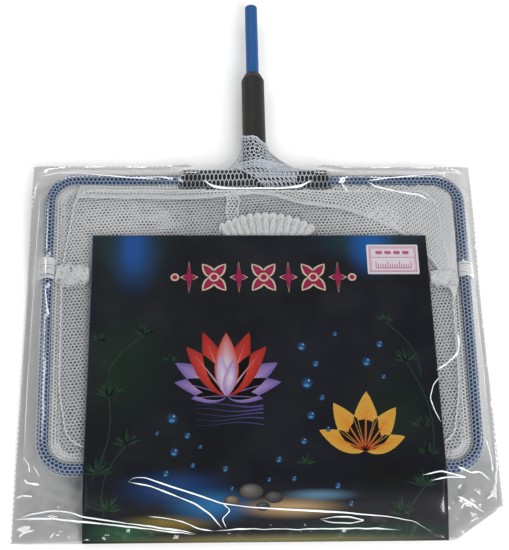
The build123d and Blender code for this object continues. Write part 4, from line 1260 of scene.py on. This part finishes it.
cut_depth = serrated(flat_points, film_depth)
corner = np.arange(film_rows * film_columns).reshape(film_rows, film_columns)
quads = np.stack([corner[:-1, :-1], corner[:-1, 1:], corner[1:, 1:], corner[1:, :-1]], axis=-1).reshape(-1, 4)
quads = quads[(cut_depth[quads] > -0.55 * film_cell).all(axis=1)]
count = np.bincount(quads.ravel(), minlength=len(flat_points))
rim = (count > 0) & (count < 4)
step = 0.05
for _ in range(3):
    here = serrated(flat_points[rim], inside_outline(flat_points[rim], film_outline))
    slope = np.stack([
        inside_outline(flat_points[rim] + offset, film_outline) - inside_outline(flat_points[rim] - offset, film_outline)
        for offset in (np.array((step, 0)), np.array((0, step)))], axis=1) / (2 * step)
    flat_points[rim] -= np.clip(here, -0.6, 0.6)[:, None] * slope
used = np.flatnonzero(count > 0)
renumber = np.full(len(flat_points), -1)
renumber[used] = np.arange(len(used))
film_points = np.column_stack([flat_points[used], film_z[used]])
front_film = add_piece("front_film", film_points, renumber[quads].tolist(), clear_film)
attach(front_film, "film_bag")
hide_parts("bag_front_film")

back_x, back_y = film_points[:, 0], film_points[:, 1]
from_side = np.minimum(back_x - film_low[0], film_high[0] - back_x)
from_top = np.where(np.abs(back_x) > 14, film_high[1] - back_y, 9.0)
rise = 1 - smooth_step(np.minimum(from_side, from_top), 1.0, 3.6)
back_z = (0.1 + 0.05 * (1 + np.sin(0.7 * back_x + 0.5 * np.sin(0.4 * back_y)) * np.sin(0.5 * back_y))
          + rise * (weld_level.ravel()[used] - 0.15))
back_film = add_piece("back_film", np.column_stack([film_points[:, :2], back_z]), renumber[quads].tolist(), clear_film)
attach(back_film, "film_bag")
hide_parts("bag_back_film")

# Painted highlights on the film
# A pale bead along the notch's edge, and thin pale lines along the sharpest creases and down both side margins,
# are painted highlights: the glints that the clear film's edge and folds throw back.
painted_highlight_film, tree, shader = start_material("polypropylene_painted_highlights")
coords = add_node(tree, "ShaderNodeTexCoord")
broken = add_node(tree, "ShaderNodeTexNoise", {"Vector": coords.outputs["Object"], "Scale": 1 / (1.5 * mm)})
highlight_tone = add_node(tree, "ShaderNodeMix", {"Factor": broken.outputs["Fac"], "A": linear("#dde2e6"), "B": linear("#f2f5f6")},
                     data_type="RGBA")
tree.links.new(result(highlight_tone), shader.inputs["Base Color"])
shader.inputs["Roughness"].default_value = 0.2
shader.inputs["Subsurface Weight"].default_value = 0.0


def on_film(x, y):
    """Height of the front film at places across it."""
    column = (x - grid_x[0]) / film_cell
    row = (y - grid_y[0]) / film_cell
    c0 = np.clip(column.astype(int), 0, film_columns - 2)
    r0 = np.clip(row.astype(int), 0, film_rows - 2)
    u, v = np.clip(column - c0, 0, 1), np.clip(row - r0, 0, 1)
    z = film_z.reshape(film_rows, film_columns)
    return ((z[r0, c0] * (1 - u) + z[r0, c0 + 1] * u) * (1 - v) + (z[r0 + 1, c0] * (1 - u) + z[r0 + 1, c0 + 1] * u) * v)


def smooth_line(line, step, width=9):
    """Points a step apart along a line, its corners rounded."""
    line = np.asarray(line, float)
    along = np.concatenate([[0], np.cumsum(np.linalg.norm(np.diff(line, axis=0), axis=1))])
    fine = np.linspace(0, along[-1], max(int(along[-1] / step), 4 * width))
    kernel = np.hanning(width + 2)[1:-1] / np.hanning(width + 2)[1:-1].sum()
    half = width // 2
    axes = [np.interp(fine, along, line[:, k]) for k in (0, 1)]
    ends = [np.concatenate([2 * a[0] - a[half:0:-1], a, 2 * a[-1] - a[-2:-half - 2:-1]]) for a in axes]
    return [np.convolve(a, kernel, mode="valid") for a in ends]


def painted_highlight_line(line, width, seed):
    """A thin pale ribbon along a crease, a painted highlight, of uneven width and fading to points at its ends."""
    x, y = smooth_line(line, 0.25)
    rng = np.random.default_rng(seed)
    count = len(x)
    run = np.gradient(np.stack([x, y], axis=1), axis=0)
    run /= np.maximum(np.linalg.norm(run, axis=1, keepdims=True), 1e-9)
    across = np.stack([-run[:, 1], run[:, 0]], axis=1)
    t = np.linspace(0, 1, count)
    uneven = np.interp(t, np.linspace(0, 1, 9), rng.uniform(0.35, 1.0, 9))
    half = width / 2 * uneven * np.clip(np.minimum(t, 1 - t) * 9, 0.08, 1)
    sides = []
    for offset, lift in ((-1, 0.03), (0, 0.07), (1, 0.03)):
        px, py = x + offset * half * across[:, 0], y + offset * half * across[:, 1]
        sides.append(np.column_stack([px, py, on_film(px, py) + lift]))
    verts = np.stack(sides, axis=1).reshape(-1, 3)
    faces = []
    for k in range(count - 1):
        for j in (0, 1):
            faces.append((3 * k + j, 3 * k + j + 1, 3 * k + j + 4, 3 * k + j + 3))
    return verts, faces


# The notch's edge: a thin tube painted pale as a painted highlight
lip_x, lip_y = smooth_line(notch_edge[2:-2], 0.25, 15)
lip_z = on_film(lip_x, lip_y - 0.45)
lip_z = np.convolve(np.pad(lip_z, 8, mode="edge"), np.hanning(17) / np.hanning(17).sum(), mode="valid") + 0.1
swell = np.linspace(-1, 1, len(lip_x))
bead_radius = 0.1 + 0.2 * np.exp(-(((np.abs(swell) - 0.72) / 0.16) ** 2)) + 0.1 * (1 - swell ** 2)
bead = thread(np.column_stack([lip_x, lip_y, lip_z]), bead_radius, 12)
lines = [painted_highlight_line(line, 0.75 * half_width - 0.22, 40 + k) for k, (line, _, half_width) in enumerate(creases)]
# Pale lines down both side margins of the film: painted highlights
edge_lines = ([(-51.5, 33.5), (-51.8, 20), (-52.0, 2), (-52.1, -17), (-51.8, -33)],
              [(50.6, 30.0), (50.9, 16), (51.2, 2), (51.3, -12), (50.9, -24)])
lines += [painted_highlight_line(line, 0.2, 90 + k) for k, line in enumerate(edge_lines)]
highlight_points, highlight_faces = join([bead, *lines])
highlight_lines = add_piece("painted_highlight_lines", highlight_points, highlight_faces, painted_highlight_film)
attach(highlight_lines, "film_bag")

# Lights
# Plain soft studio light: a dim surround that is darkest behind and above, where the flat film would mirror
# it, a broad soft lamp in front on the right, and two behind that the creases of the film catch.
world = bpy.data.worlds.new("studio")
bpy.context.scene.world = world
world.use_nodes = True
tree = world.node_tree
surround = tree.nodes["Background"]
toward = add_node(tree, "ShaderNodeTexCoord")
straight_back = add_node(tree, "ShaderNodeVectorMath", {"Vector": toward.outputs["Generated"]}, operation="DOT_PRODUCT")
straight_back.inputs[1].default_value = (0.0, math.cos(math.radians(82)), math.sin(math.radians(82)))
shade = add_node(tree, "ShaderNodeMapRange", {"Value": straight_back.outputs["Value"], "From Min": 0.6, "From Max": 0.93,
                                              "To Min": 0.9, "To Max": 0.1}, interpolation_type="SMOOTHSTEP")
surround.inputs["Color"].default_value = linear("#ffffff")
tree.links.new(shade.outputs["Result"], surround.inputs["Strength"])


def soft_lamp(name, azimuth, elevation, distance, width, height, watts):
    """An area lamp that looks at the middle of the object from an azimuth and elevation in degrees."""
    a, e = math.radians(azimuth), math.radians(elevation)
    away = Vector((math.sin(a) * math.cos(e), -math.cos(a) * math.cos(e), math.sin(e)))
    lamp = bpy.data.objects.new(name, bpy.data.lights.new(name, "AREA"))
    lamp.data.shape = "RECTANGLE"
    lamp.data.size = width * mm
    lamp.data.size_y = height * mm
    lamp.data.energy = watts
    lamp.location = away * distance * mm
    lamp.rotation_mode = "QUATERNION"
    lamp.rotation_quaternion = (-away).to_track_quat("-Z", "Y")
    bpy.context.scene.collection.objects.link(lamp)


soft_lamp("key_softbox", 28, 40, 600, 350, 350, 2.8)
soft_lamp("back_window", 180, 36, 700, 500, 90, 1.3)
soft_lamp("left_window", 228, 50, 700, 90, 300, 0.6)
soft_lamp("right_window", 105, 33, 700, 90, 260, 0.4)
bpy.context.scene.view_settings.view_transform = "Standard"
